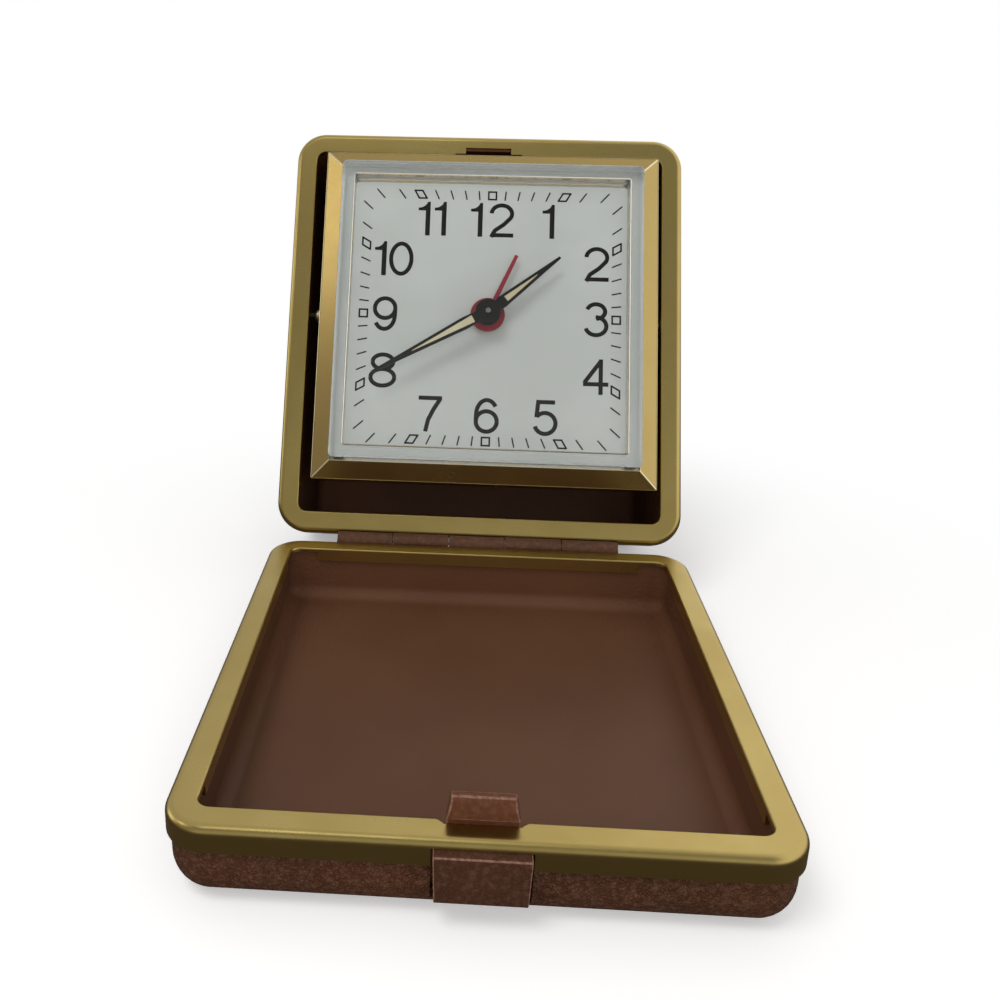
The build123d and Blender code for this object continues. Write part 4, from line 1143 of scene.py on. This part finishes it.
@dataclass
class Latch:
    """The catch, its button and the keeper's look. Lengths are in millimetres."""

    shop: Shop
    front: float = 84.6
    catch_width: float = 9.1
    catch_sheet: float = 0.6
    catch_inset: float = 3.3
    catch_rise: float = 4.3
    catch_bevel: float = 1.1
    catch_taper: float = 0.88
    catch_edge: float = 0.2
    hook_reach: float = 0.85
    hook_level: float = 1.1
    taper_gap: float = 0.1
    carrier_width: float = 12.6
    carrier_depth: float = 7.0
    carrier_inset: float = 1.9
    web_depth: float = 2.5
    button_width: float = 12.0
    button_proud: float = 1.4
    button_top: float = 1.3
    button_bottom: float = 8.9
    button_taper: float = 0.96
    button_lap: float = 0.05
    button_crown: tuple[Spot, ...] = ((0.55, 0.0), (0.12, 0.16), (0.0, 0.6))
    button_under: tuple[Spot, ...] = ((0.0, 1.6), (0.35, 0.7), (1.6, 0.0))
    button_edge: float = 0.14
    edge_angle: float = 40.0

    def profile(self, name: str, points: Sequence[Spot], width: float) -> Piece:
        """Draws a section of (inset, level) points out along X, in the frame of the base."""
        piece = Bench.prism(name, points, width)
        turn = Matrix(((0, 0, 1, -width / 2), (-1, 0, 0, self.front), (0, 1, 0, 0), (0, 0, 0, 1)))
        Bench.settle(piece, turn)
        Bench.outward(piece)
        return piece

    @staticmethod
    def narrow(piece: Piece, share: float, test: Callable[[float], bool]) -> None:
        """Narrows a piece to a share of its width where its level passes a test."""
        with Bench.edit(piece):
            Bench.pick(piece, Kind.POINTS, lambda v: test(v.co.z))
            bpy.ops.transform.resize(value=(share, 1.0, 1.0), center_override=(0, 0, 0))

    def catch(self) -> Piece:
        """Models the sprung catch with its bevelled hook, on its carrier."""
        outer, inner = self.carrier_inset, self.catch_inset
        back, nose = inner + self.catch_sheet, inner - self.hook_reach
        web, low = -self.web_depth, -self.web_depth - self.catch_sheet
        stem = (
            (outer, low),
            (back, low),
            (back, self.catch_rise),
            (inner - self.hook_reach / 2, self.catch_rise),
            (nose, self.catch_rise - self.catch_bevel),
            (nose, self.hook_level),
            (inner, self.hook_level),
            (inner, web),
            (outer, web),
        )
        behind = outer + self.catch_sheet
        foot = -self.carrier_depth
        plate = ((outer, foot), (behind, foot), (behind, web), (outer, web))
        hook = self.profile("latch_catch_stem", stem, self.catch_width)
        self.narrow(hook, self.catch_taper, lambda z: z > self.hook_level + self.taper_gap)
        carrier = self.profile("latch_catch_carrier", plate, self.carrier_width)
        piece = Bench.join("latch_catch_fine", (hook, carrier))
        Bench.edged(piece, self.catch_edge, self.edge_angle)
        return piece

    def button(self) -> Piece:
        """Models the push button, crowned at its top and rounded under."""
        inner, proud = self.carrier_inset - self.button_lap, -self.button_proud
        top, bottom = -self.button_top, -self.button_bottom
        crown = ((proud + deep, top - down) for deep, down in self.button_crown)
        under = ((proud + deep, bottom + rise) for deep, rise in self.button_under)
        points = ((inner, bottom), (inner, top), *crown, *under)
        piece = self.profile("latch_button_fine", points[::-1], self.button_width)
        self.narrow(piece, self.button_taper, lambda level: level < bottom / 2)
        Bench.edged(piece, self.button_edge, self.edge_angle)
        return piece

    def build(self) -> None:
        """Builds and delivers the latch."""
        for piece, finish, node in (
            (self.catch(), CATCH_SKIN, "latch_catch"),
            (self.button(), BUTTON_SKIN, "latch_button"),
        ):
            self.shop.deliver(piece, Place.BASE, "latch", finish, (node,), edge=RUBBED_EDGE)
        self.shop.keep("latch_spring", BLUED_STEEL)
        self.shop.keep("latch_guides", CASE_BRASS)
        self.shop.refine("latch_keeper", "upper_half", CATCH_SKIN, 0.08)


@dataclass
class HeadFront:
    """The bezel, the crystal and the dial. Lengths are in millimetres from the dial's face."""

    shop: Shop
    width: float = 67.9
    lip: float = 1.0
    rise: float = 1.5
    facet: float = 3.65
    ledge: float = 0.22
    sheet: float = 0.6
    skirt: float = 4.9
    inner_wall: float = 0.75
    edge: float = 0.2
    edge_angle: float = 25.0
    near: float = 0.01
    crystal_gap: float = 0.15
    crystal_height: float = 7.1
    crystal_corner: Round = (1.0, 6)
    crystal_edge: Round = (1.4, 8)
    crystal_wall: float = 2.4
    cavity_height: float = 5.6
    cavity_start: float = -1.0
    cavity_corner: Round = (0.5, 4)
    cavity_edge: Round = (0.7, 5)

    def bezel(self) -> Piece:
        """Models the bezel: skirt, lip, four mitred facets and a thin inner wall."""
        piece = Bench.plate("bezel_fine", self.width, self.width)
        with Bench.edit(piece):
            bpy.ops.mesh.inset(thickness=self.ledge, depth=0.0)
            bpy.ops.mesh.inset(thickness=self.facet - self.ledge, depth=self.rise)
            Bench.extrude((0.0, 0.0, -self.rise - self.lip + self.inner_wall))
            bpy.ops.mesh.delete(type="FACE")
            half = self.width / 2 - self.near
            Bench.pick(
                piece,
                Kind.EDGES,
                lambda e: len(e.link_faces) == 1
                and all(max(abs(v.co.x), abs(v.co.y)) > half for v in e.verts),
            )
            Bench.extrude((0.0, 0.0, -self.skirt - self.lip), True)
        Bench.outward(piece)
        Bench.face_up(piece)
        Bench.thicken(piece, self.sheet)
        Bench.edged(piece, self.edge, self.edge_angle)
        Bench.shift(piece, (0.0, 0.0, self.lip))
        return piece

    def slab(self, name: str, width: float, height: float, corner: Round, edge: Round) -> Piece:
        """Models a square block with rounded corners and a rounded top edge.

        Args:
            name: The piece's name.
            width: Its width.
            height: Its height.
            corner: Radius and steps of its corners.
            edge: Radius and segments of its top edge.

        Returns:
            The block.
        """
        piece = Bench.plate(name, width, width, *corner)
        with Bench.edit(piece):
            Bench.extrude((0.0, 0.0, height))
            Bench.pick(
                piece,
                Kind.EDGES,
                lambda e: all(v.co.z > height - self.near for v in e.verts)
                and len(e.link_faces) == 2,
            )
            radius, segments = edge
            bpy.ops.mesh.bevel(
                offset=radius, segments=segments, affect="EDGES", clamp_overlap=True
            )
        Bench.outward(piece)
        return piece

    def crystal(self) -> Piece:
        """Models the crystal: a thick-walled clear box with rounded edges."""
        width = self.width - 2 * self.facet - 2 * self.crystal_gap
        rounds = (self.crystal_corner, self.crystal_edge)
        piece = self.slab("crystal_fine", width, self.crystal_height, *rounds)
        inner = width - 2 * self.crystal_wall
        rounds = (self.cavity_corner, self.cavity_edge)
        cavity = self.slab("cavity", inner, self.cavity_height - self.cavity_start, *rounds)
        Bench.shift(cavity, (0.0, 0.0, self.cavity_start))
        Bench.cut(piece, cavity)
        return piece

    def build(self) -> None:
        """Builds and delivers the front of the head."""
        for piece, finish, node, angle, edge in (
            # The bezel's rounded edges take the painted edge highlight.
            (self.bezel(), BEZEL_BRASS, "bezel", 20.0, EDGE_HIGHLIGHT_BRASS),
            (self.crystal(), CLEAR, "crystal", 35.0, None),
        ):
            self.shop.deliver(piece, Place.HEAD, "clock_head", finish, (node,), angle, edge)
        self.shop.keep("dial", DIAL_WHITE)


@dataclass
class Pen:
    """Draws the plain light numbers of the dial as strokes of one width."""

    half_width: float = 2.08
    half_height: float = 3.18
    stroke: float = 0.84
    steps: int = 18
    mitre: float = 0.7

    def arc(self, centre: Spot, radii: Spot, start: float, end: float) -> Line:
        """Gives the points of an arc of an ellipse, between two angles in degrees."""
        count = max(4, round(abs(end - start) / 180 * self.steps))
        angles = [math.radians(start + (end - start) * i / count) for i in range(count + 1)]
        (cx, cy), (rx, ry) = centre, radii
        return [(cx + rx * math.cos(a), cy + ry * math.sin(a)) for a in angles]

    def ring(self, centre: Spot, radii: Spot) -> list[Line]:
        """Gives an ellipse as two arcs."""
        return [self.arc(centre, radii, 0, 180), self.arc(centre, radii, 180, 360)]

    def strokes(self, digit: str) -> list[Line]:
        """Gives the centre lines of a digit, apart from 1, on a field around the origin."""
        x, y = self.half_width, self.half_height
        end = y + self.stroke / 2
        if digit in "69":
            tail = self.arc((0.05, 0.3), (x, y - 0.3), 34, 180)
            lines = [*self.ring((0, -y + 2.05), (x, 2.05)), [*tail, (-x, -y + 2.05)]]
            turn = 1 if digit == "6" else -1
            return [[(turn * px, turn * py) for px, py in line] for line in lines]
        arc, ring = self.arc, self.ring
        top = arc((0, y - 1.8), (x, 1.8), 178, -28)
        lines = {
            "0": ring((0, 0), (x, y)),
            "2": [[*top, (0.45, -0.9), (-1.35, -2.2), (-x, -end)], [(-x, -y), (x + 0.35, -y)]],
            "3": [
                arc((-0.1, y - 1.5), (1.8, 1.5), 165, -88),
                arc((-0.1, -y + 1.84), (x, 1.84), 92, -165),
            ],
            "4": [
                [(1.05, end), (1.05, -end)],
                [(1.0, y), (-x - 0.1, -1.2)],
                [(-x - 0.35, -1.48), (x + 0.5, -1.48)],
            ],
            "5": [
                [(-1.6, y), (x - 0.2, y)],
                [(-1.4, end), (-1.75, 0.1)],
                arc((-0.05, -y + 2.1), (x, 2.1), 142, -162),
            ],
            "7": [
                [(-x - 0.2, y), (x + 0.3, y)],
                [(x + 0.05, y), (0.75, 0.9), (-0.25, -1.2), (-0.75, -end)],
            ],
            "8": [*ring((0, y - 1.48), (x, 1.48)), *ring((0, -y + 1.7), (x + 0.32, 1.7))],
        }
        return lines[digit]

    def ribbon(self, line: Line) -> Line:
        """Gives the outline of a stroke along a centre line."""
        left, right = [], []
        last = len(line) - 1
        half = self.stroke / 2
        for index, (x, y) in enumerate(line):
            ax, ay = line[max(index - 1, 0)]
            bx, by = line[min(index + 1, last)]
            length = math.hypot(bx - ax, by - ay)
            sx, sy = (by - ay) / length, (ax - bx) / length
            if 0 < index < last:
                turn = math.hypot(x - ax, y - ay) * math.hypot(bx - x, by - y)
                bend = ((x - ax) * (bx - x) + (y - ay) * (by - y)) / turn
                widen = 1 / max(math.sqrt((1 + bend) / 2), self.mitre)
                sx, sy = sx * widen, sy * widen
            right.append((x + sx * half, y + sy * half))
            left.append((x - sx * half, y - sy * half))
        return right + left[::-1]

    def outlines(self, digit: str) -> list[Line]:
        """Gives the outlines of a digit's strokes."""
        if digit == "1":
            flag = [(0.64, 3.6), (0.44, 3.12), (0.04, 2.7), (-0.5, 2.4), (-1.22, 2.3)]
            return [[(1.22, -3.6), (1.22, 3.6), *flag, (-1.22, 1.72), (0.26, 1.72), (0.26, -3.6)]]
        return [self.ribbon(line) for line in self.strokes(digit)]


# Each digit of the dial with its centre, from twelve o'clock on.
DIGITS = (
    ("1", -3.1, 20.25), ("2", 2.0, 20.25), ("1", 11.5, 20.2), ("2", 21.4, 11.5),
    ("3", 21.5, 0.0), ("4", 21.45, -11.7), ("5", 11.7, -20.3), ("6", 0.05, -20.25),
    ("7", -11.25, -20.2), ("8", -21.0, -11.65), ("9", -21.05, 0.0), ("1", -22.45, 11.6),
    ("0", -18.2, 11.6), ("1", -13.83, 20.25), ("1", -10.53, 20.3),
)


@dataclass
class DialPrint:
    """The printed numbers and the square minute track. Lengths are in millimetres."""

    shop: Shop
    pen: Pen = field(default_factory=Pen)
    level: float = -0.055
    ink: float = 0.03
    shift: float = 0.35
    track: float = 26.4
    tick: float = 1.95
    stroke: float = 0.28
    mark: float = 1.95
    mark_width: float = 1.56
    mark_stroke: float = 0.34

    def digit(self, text: str, x: float, y: float, name: str) -> Piece:
        """Prints one digit around its centre."""
        parts = [Bench.prism(name, points, self.ink) for points in self.pen.outlines(text)]
        piece = Bench.join(name, parts)
        Bench.shift(piece, (x, y, self.level))
        return piece

    def bar(self, x: float, y: float, angle: float, length: float, width: float) -> Piece:
        """Prints one bar around its centre, turned by an angle."""
        low = (x - length / 2, y - width / 2, self.level)
        high = (x + length / 2, y + width / 2, self.level + self.ink)
        return Bench.block("bar", low, high, angle)

    def marks(self, index: int) -> list[Piece]:
        """Prints one minute's tick, or one hour's hollow square, pointing at the centre."""
        angle = 2 * math.pi * index / 60
        x, y = math.sin(angle), math.cos(angle)
        reach = 1 / max(abs(x), abs(y))
        x, y = x * reach, y * reach
        way, slant = math.atan2(y, x), math.hypot(x, y)
        if index % 5:
            middle = self.track - self.tick / 2
            return [self.bar(x * middle, y * middle, way, self.tick * slant, self.stroke)]
        flat = abs(y) >= abs(x)
        half = self.mark_stroke / 2
        wide = self.mark_width + self.mark_stroke
        bars = [
            self.bar(x * row, y * row, 0.0 if flat else math.pi / 2, wide, self.mark_stroke)
            for row in (self.track - half, self.track - self.mark + half)
        ]
        middle = self.track - self.mark / 2
        length = (self.mark - self.mark_stroke) * slant
        for side in (-self.mark_width / 2, self.mark_width / 2):
            cx = x * middle + (side if flat else 0.0)
            cy = y * middle + (0.0 if flat else side)
            bars.append(self.bar(cx, cy, way, length, self.mark_stroke))
        return bars

    def build(self) -> None:
        """Builds and delivers the print."""
        digits = [self.digit(*given, f"digit_{i}") for i, given in enumerate(DIGITS)]
        numbers = Bench.join("dial_numbers", digits)
        bars = [bar for index in range(60) for bar in self.marks(index)]
        for piece in (numbers, Bench.join("dial_track", bars)):
            Bench.shift(piece, (self.shift, 0.0, 0.0))
            self.shop.deliver(piece, Place.HEAD, "clock_head", PRINT_BLACK, (), 20.0)


@dataclass
class Hand:
    """One hand, with its hub. Lengths are in millimetres."""

    name: str
    body: str
    finish: Finish
    hour: float
    length: float
    width: float
    level: float
    hub: float
    root: float
    tip: float = 0.25
    fill: Point | None = None
    sheet: float = 0.3
    belly: float = 0.2
    fill_tip: float = 0.05
    fill_sheet: float = 0.06
    blade_edge: Round = (0.06, 2)
    hub_edge: Round = (0.08, 2)
    edge_angle: float = 50.0
    hub_sides: int = 48
    smooth: float = 30.0

    def turned(self, piece: Piece) -> Piece:
        """Turns a piece that points up to the hand's hour."""
        return Bench.settle(piece, Matrix.Rotation(-self.hour * math.pi / 6, 4, "Z"))

    def blade(self) -> Piece:
        """Models the blade and hub."""
        half, wide = self.width / 2, self.length * self.belly
        points = [(self.tip, self.length), (-self.tip, self.length), (-half, wide)]
        points += [(-half * self.root, 0.0), (half * self.root, 0.0), (half, wide)]
        blade = Bench.prism(f"{self.name}_blade", points, self.sheet)
        Bench.shift(blade, (0.0, 0.0, self.level))
        Bench.soften(blade, *self.blade_edge, self.edge_angle)
        ends = ((0.0, 0.0, self.level), (0.0, 0.0, self.level + self.sheet))
        disc = Bench.rod(f"{self.name}_hub", self.hub, *ends, self.hub_sides)
        Bench.soften(disc, *self.hub_edge, self.edge_angle)
        return self.turned(Bench.join(f"{self.name}_fine", (blade, disc)))

    def infill(self, start: float, end: float, width: float) -> Piece:
        """Models the pale infill in the blade's slot."""
        half, tip = width / 2, self.fill_tip
        points = ((tip, end), (-tip, end), (-half, start), (half, start))
        piece = Bench.prism(f"{self.name}_infill", points, self.fill_sheet)
        Bench.shift(piece, (0.0, 0.0, self.level + self.sheet - self.fill_sheet / 2))
        return self.turned(piece)

    def build(self, shop: Shop) -> None:
        """Builds and delivers the hand."""
        blade = self.blade()
        shop.deliver(blade, Place.HEAD, self.body, self.finish, (self.name,), self.smooth)
        if self.fill:
            infill = self.infill(*self.fill)
            shop.deliver(infill, Place.HEAD, self.body, HAND_CREAM, (), self.smooth)


@dataclass
class Hands:
    """The three hands and the pin that shows in the middle."""

    shop: Shop
    pin_radius: float = 0.34
    pin_levels: Spot = (4.35, 5.2)
    pin_sides: int = 24
    pin_edge: Round = (0.22, 4)
    edge_angle: float = 50.0

    def build(self) -> None:
        """Builds and delivers the hands and the pin."""
        hands = (
            Hand(
                "minute_hand", "minute_set", HAND_BLACK, hour=8.0, length=26.0, width=2.5,
                level=4.3, hub=2.5, root=0.75, fill=(3.3, 17.0, 1.5),
            ),
            Hand(
                "hour_hand", "hour_set", HAND_BLACK, hour=1.67, length=18.4, width=2.5,
                level=2.8, hub=2.5, root=0.72, fill=(4.6, 12.6, 1.2),
            ),
            Hand(
                "alarm_hand", "alarm_indicator", HAND_RED, hour=0.8, length=13.6, width=0.95,
                level=1.3, hub=3.45, root=0.9, tip=0.36,
            ),
        )
        for hand in hands:
            hand.build(self.shop)
        ends = ((0.0, 0.0, level) for level in self.pin_levels)
        pin = Bench.rod("hand_pin", self.pin_radius, *ends, self.pin_sides)
        Bench.soften(pin, *self.pin_edge, self.edge_angle)
        self.shop.deliver(pin, Place.HEAD, "minute_set", BRIGHT_STEEL)
        self.shop.keep("centre_arbor", BRIGHT_STEEL)


@dataclass
class Pivot:
    """One of the head's domed pivots and its bracket. Lengths are in millimetres."""

    shop: Shop
    name: str
    way: int
    rise: float
    reach: float
    level: float = -3.2
    side: float = 33.95
    dome: float = 1.5
    dome_start: float = 0.05
    shank: float = 0.9
    shank_ends: Spot = (-0.65, 0.1)
    pin: float = 0.7
    pin_start: float = 0.3
    sides: int = 24

    def at(self, x: float) -> Point:
        """Gives a point on the pivots' axis."""
        return self.way * x, 0.0, self.level

    def stud(self) -> Piece:
        """Models a dome against the bezel on a short shank."""
        Bench.free()
        bpy.ops.mesh.primitive_uv_sphere_add(segments=32, ring_count=16, radius=1.0)
        dome = Bench.named(f"pivot_stud_{self.name}_dome")
        origin = (0.0, 0.0, 0.0)
        with Bench.edit(dome):
            away = (-self.way, 0.0, 0.0)
            bpy.ops.mesh.bisect(plane_co=origin, plane_no=away, clear_outer=True, use_fill=True)
            bpy.ops.mesh.select_all(action="SELECT")
            size = (self.rise, self.dome, self.dome)
            bpy.ops.transform.resize(value=size, center_override=origin)
            bpy.ops.transform.translate(value=self.at(self.side + self.dome_start))
        Bench.outward(dome)
        ends = (self.at(self.side + step) for step in self.shank_ends)
        shank = Bench.rod("shank", self.shank, *ends, self.sides)
        return Bench.join(f"pivot_stud_{self.name}_fine", (dome, shank))

    def build(self) -> None:
        """Builds and delivers the stud and the pin that carries it in the case, painted dark as the
        recess's shade.
        """
        node, deliver = f"pivot_stud_{self.name}", self.shop.deliver
        deliver(self.stud(), Place.HEAD, "clock_head", PIVOT_BRASS, (node,))
        ends = (self.at(self.side + self.pin_start), self.at(self.reach))
        journal = Bench.rod(f"pivot_pin_{self.name}", self.pin, *ends, self.sides)
        deliver(journal, Place.HEAD, "clock_head", PIN_SHADE_STEEL)
        self.shop.keep(f"pivot_bracket_{self.name}", BRIGHT_STEEL)


@dataclass
class Works:
    """The back of the head and the movement, which keep their own shapes."""

    shop: Shop

    def build(self) -> None:
        """Delivers the pieces that show from behind, and gives the inner ones their finish."""
        for given in (
            ("head_case", "clock_head", CAN_LACQUER, 0.25, 3),
            ("back_cover", "clock_head", CAN_LACQUER, 0.12),
            ("cover_screws", "clock_head", BRIGHT_STEEL, 0.15),
            ("going_key", "going_winder", KEY_BRASS, 0.18, 3),
            ("alarm_key", "alarm_winder", KEY_BRASS, 0.18, 3),
            ("time_set_knob", "minute_set", KEY_BRASS, 0.1),
            ("alarm_set_knob", "alarm_setter", KEY_BRASS, 0.1),
            ("alarm_stop", "stop_set", KEY_BRASS, 0.15, 3),
            ("regulator", "regulator_set", BRIGHT_STEEL, 0.05),
            ("base_hinge_leaf", "base_half", HINGE_SKIN, 0.12),
            ("upper_hinge_leaf", "upper_half", HINGE_SKIN, 0.12),
        ):
            self.shop.refine(*given)
        brass = (
            "front_plate back_plate plate_pillars alarm_barrel cannon_pinion minute_wheel "
            "hour_wheel alarm_wheel going_barrel centre_wheel third_wheel fourth_wheel "
            "escape_wheel balance_wheel"
        )
        steel = (
            "hinge_pin plate_screws movement_screws alarm_set_arbor going_winding_arbor "
            "alarm_winding_arbor pallet_lever alarm_hammer"
        )
        springs = "going_mainspring alarm_mainspring hairspring"
        for nodes, finish in ((brass, PLATE_BRASS), (steel, BRIGHT_STEEL), (springs, BLUED_STEEL)):
            for node in nodes.split():
                self.shop.keep(node, finish)


@dataclass(frozen=True)
class Glow:
    """A soft patch of the light tent, seen from the clock in one direction."""

    aim: Point
    inner: float
    outer: float
    level: Colour


@dataclass
class Tent:
    """The light tent around the clock, which only reflections see."""

    radius: float = 1.6
    level: Colour = (0.54, 0.53, 0.52)
    ground: Colour = (0.075, 0.06, 0.05)
    horizon: Spot = (-0.1, 0.14)
    glows: tuple[Glow, ...] = (
        Glow((0.6, 0.62, 0.5), 18.0, 58.0, (0.98, 0.96, 0.92)),
        Glow((0.88, -0.3, 0.4), 25.0, 55.0, (1.0, 0.99, 0.97)),
        Glow((0.0, -0.62, 0.78), 18.0, 40.0, (0.22, 0.22, 0.21)),
        Glow((0.0, -0.9, 0.38), 8.0, 26.0, (0.46, 0.45, 0.42)),
        Glow((-0.82, -0.38, 0.42), 18.0, 42.0, (0.3, 0.28, 0.26)),
        Glow((-0.12, -0.34, 0.93), 5.0, 13.0, (1.8, 1.8, 1.7)),
        Glow((-0.97, 0.15, 0.2), 6.0, 18.0, (1.6, 1.6, 1.5)),
        Glow((-0.79, -0.23, 0.6), 4.0, 10.0, (2.4, 2.3, 2.1)),
    )

    def build(self) -> None:
        """Builds the tent."""
        Bench.free()
        bpy.ops.mesh.primitive_uv_sphere_add(segments=48, ring_count=24, radius=self.radius)
        tent = Bench.named("studio_tent")
        with Bench.edit(tent):
            bpy.ops.mesh.flip_normals()
        for view in ("camera", "diffuse", "shadow", "volume_scatter"):
            setattr(tent, f"visible_{view}", False)
        made = bpy.data.materials.new("studio tent")
        made.use_nodes = True
        w = Wiring(made.node_tree)
        way = w.vector("NORMALIZE", {0: w.add("TexCoord")["Object"]})[0]
        colour: Any = self.level
        for glow in self.glows:
            aim = tuple(Vector(glow.aim).normalized())
            near = w.vector("DOT_PRODUCT", {0: way, 1: aim})["Value"]
            limits = (math.cos(math.radians(a)) for a in (glow.outer, glow.inner))
            colour = w.blend(w.spread(near, *limits), colour, glow.level)
        height = w.spread(w.add("SeparateXYZ", {0: way})[2], *self.horizon)
        light = w.add("Emission", {"Color": w.blend(height, self.ground, colour), "Strength": 1.0})
        w.give(made.node_tree.nodes["Material Output"], {"Surface": light[0]})
        tent.data.materials.append(made)


@dataclass
class Studio:
    """The floor, the tent, the lamps, the surroundings and the camera, in metres."""

    floor_size: float = 6.0
    floor_fade: Spot = (0.08, 0.17)
    floor_lift: float = 0.34
    eye: Point = (-0.00511, -0.14353, 0.09835)
    pitch: float = 18.03
    yaw: float = -2.93
    roll: float = -1.05
    focal: float = 1.03145
    principal: Spot = (0.4047, 0.41894)
    sensor: float = 36.0
    aim: Point = (0.0, 0.02, 0.04)
    soft: float = 0.45
    lamps: tuple[tuple[str, Point, float, float], ...] = (
        ("key lamp", (-0.3, -0.33, 0.85), 0.4, 2.3),
        ("fill lamp", (0.05, -0.72, 0.34), 0.5, 1.5),
    )

    def floor(self) -> None:
        """Lays the white floor, which takes the clock's shadow near it."""
        Bench.free()
        bpy.ops.mesh.primitive_plane_add(size=self.floor_size)
        floor = Bench.named("studio_floor")
        made = bpy.data.materials.new("studio floor")
        made.use_nodes = True
        w = Wiring(made.node_tree)
        white = (1.0, 1.0, 1.0, 1.0)
        shader = made.node_tree.nodes["Principled BSDF"]
        plain = {"Base Color": (0.95, 0.95, 0.95, 1.0), "Roughness": 0.9, "Specular IOR Level": 0.0}
        w.give(shader, plain)
        reach = w.vector("LENGTH", {0: w.add("TexCoord")["Object"]})["Value"]
        away = w.spread(reach, *self.floor_fade)
        path = w.add("LightPath")
        seen = w.math("MAXIMUM", path["Is Camera Ray"], path["Is Transmission Ray"])
        level = w.math("MULTIPLY", seen, self.floor_lift)
        lift = w.add("Emission", {"Color": white, "Strength": level})[0]
        near = w.add("AddShader", {0: shader.outputs[0], 1: lift})[0]
        blank = w.add("Emission", {"Color": white, "Strength": 1.0})[0]
        w.end(near, blank, w.math("MULTIPLY", away, seen))
        floor.visible_glossy = False
        floor.data.materials.append(made)

    def lamp(self, name: str, place: Point, size: float, power: float) -> None:
        """Hangs one square soft lamp that looks at the clock.

        Args:
            name: The lamp's name.
            place: Where it hangs.
            size: Its width.
            power: Its power in watts.
        """
        light = bpy.data.lights.new(name, "AREA")
        light.shape = "SQUARE"
        light.size = size
        light.energy = power
        lamp = bpy.data.objects.new(name, light)
        bpy.context.scene.collection.objects.link(lamp)
        lamp.visible_glossy = lamp.visible_transmission = False
        lamp.location = place
        way = Vector(self.aim) - Vector(place)
        lamp.rotation_euler = way.to_track_quat("-Z", "Y").to_euler()

    def surroundings(self) -> None:
        """Makes the room white where it is seen, and a plain soft light elsewhere."""
        world = bpy.data.worlds.new("studio")
        bpy.context.scene.world = world
        world.use_nodes = True
        w = Wiring(world.node_tree)
        path = w.add("LightPath")
        seen = w.math("MAXIMUM", path["Is Camera Ray"], path["Is Glossy Ray"])
        seen = w.math("MAXIMUM", seen, path["Is Transmission Ray"])
        soft = w.add("Background", {"Color": (1.0, 0.99, 0.98, 1.0), "Strength": self.soft})[0]
        white = w.add("Background", {"Color": (1.0, 1.0, 1.0, 1.0), "Strength": 1.0})[0]
        w.end(soft, white, seen, "World Output")

    def camera(self) -> None:
        """Sets up the camera of the photograph."""
        data = bpy.data.cameras.new("camera")
        data.sensor_width = self.sensor
        data.lens = self.focal * self.sensor
        data.shift_x = 0.5 - self.principal[0]
        data.shift_y = self.principal[1] - 0.5
        data.clip_start = 0.005
        pitch, yaw, roll = (math.radians(a) for a in (self.pitch, self.yaw, self.roll))
        ahead = Vector(
            (math.sin(yaw) * math.cos(pitch), math.cos(yaw) * math.cos(pitch), -math.sin(pitch))
        )
        right = ahead.cross(Vector((0.0, 0.0, 1.0))).normalized()
        up = right.cross(ahead)
        across = right * math.cos(roll) - up * math.sin(roll)
        above = right * math.sin(roll) + up * math.cos(roll)
        turn = Matrix((across, above, -ahead)).transposed().to_4x4()
        camera = bpy.data.objects.new("camera", data)
        bpy.context.scene.collection.objects.link(camera)
        camera.matrix_world = Matrix.Translation(self.eye) @ turn
        bpy.context.scene.camera = camera

    def build(self) -> None:
        """Builds the whole studio."""
        bpy.context.scene.view_settings.view_transform = "Standard"
        self.floor()
        Tent().build()
        for given in self.lamps:
            self.lamp(*given)
        self.surroundings()
        self.camera()


def main() -> None:
    """Builds the clock and its studio."""
    logging.basicConfig(level=logging.INFO, format="%(name)s: %(message)s")
    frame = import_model()
    shop = Shop(frame)
    base = {"height": 12.3, "edge": 5.4, "lining_edge": 7.0}
    upper = {"height": 35.05, "edge": 5.0, "lining_edge": 5.4}
    BaseHalf(shop, Place.BASE, "base_half", "base", **base).build()
    UpperHalf(shop, Place.UPPER, "upper_half", "upper", **upper).build()
    for part in (Latch, HeadFront, DialPrint, Hands):
        part(shop).build()
    Pivot(shop, "right", 1, rise=0.95, reach=37.25).build()
    Pivot(shop, "left", -1, rise=1.5, reach=38.65).build()
    Works(shop).build()
    Studio().build()


if __name__ == "__main__":
    main()
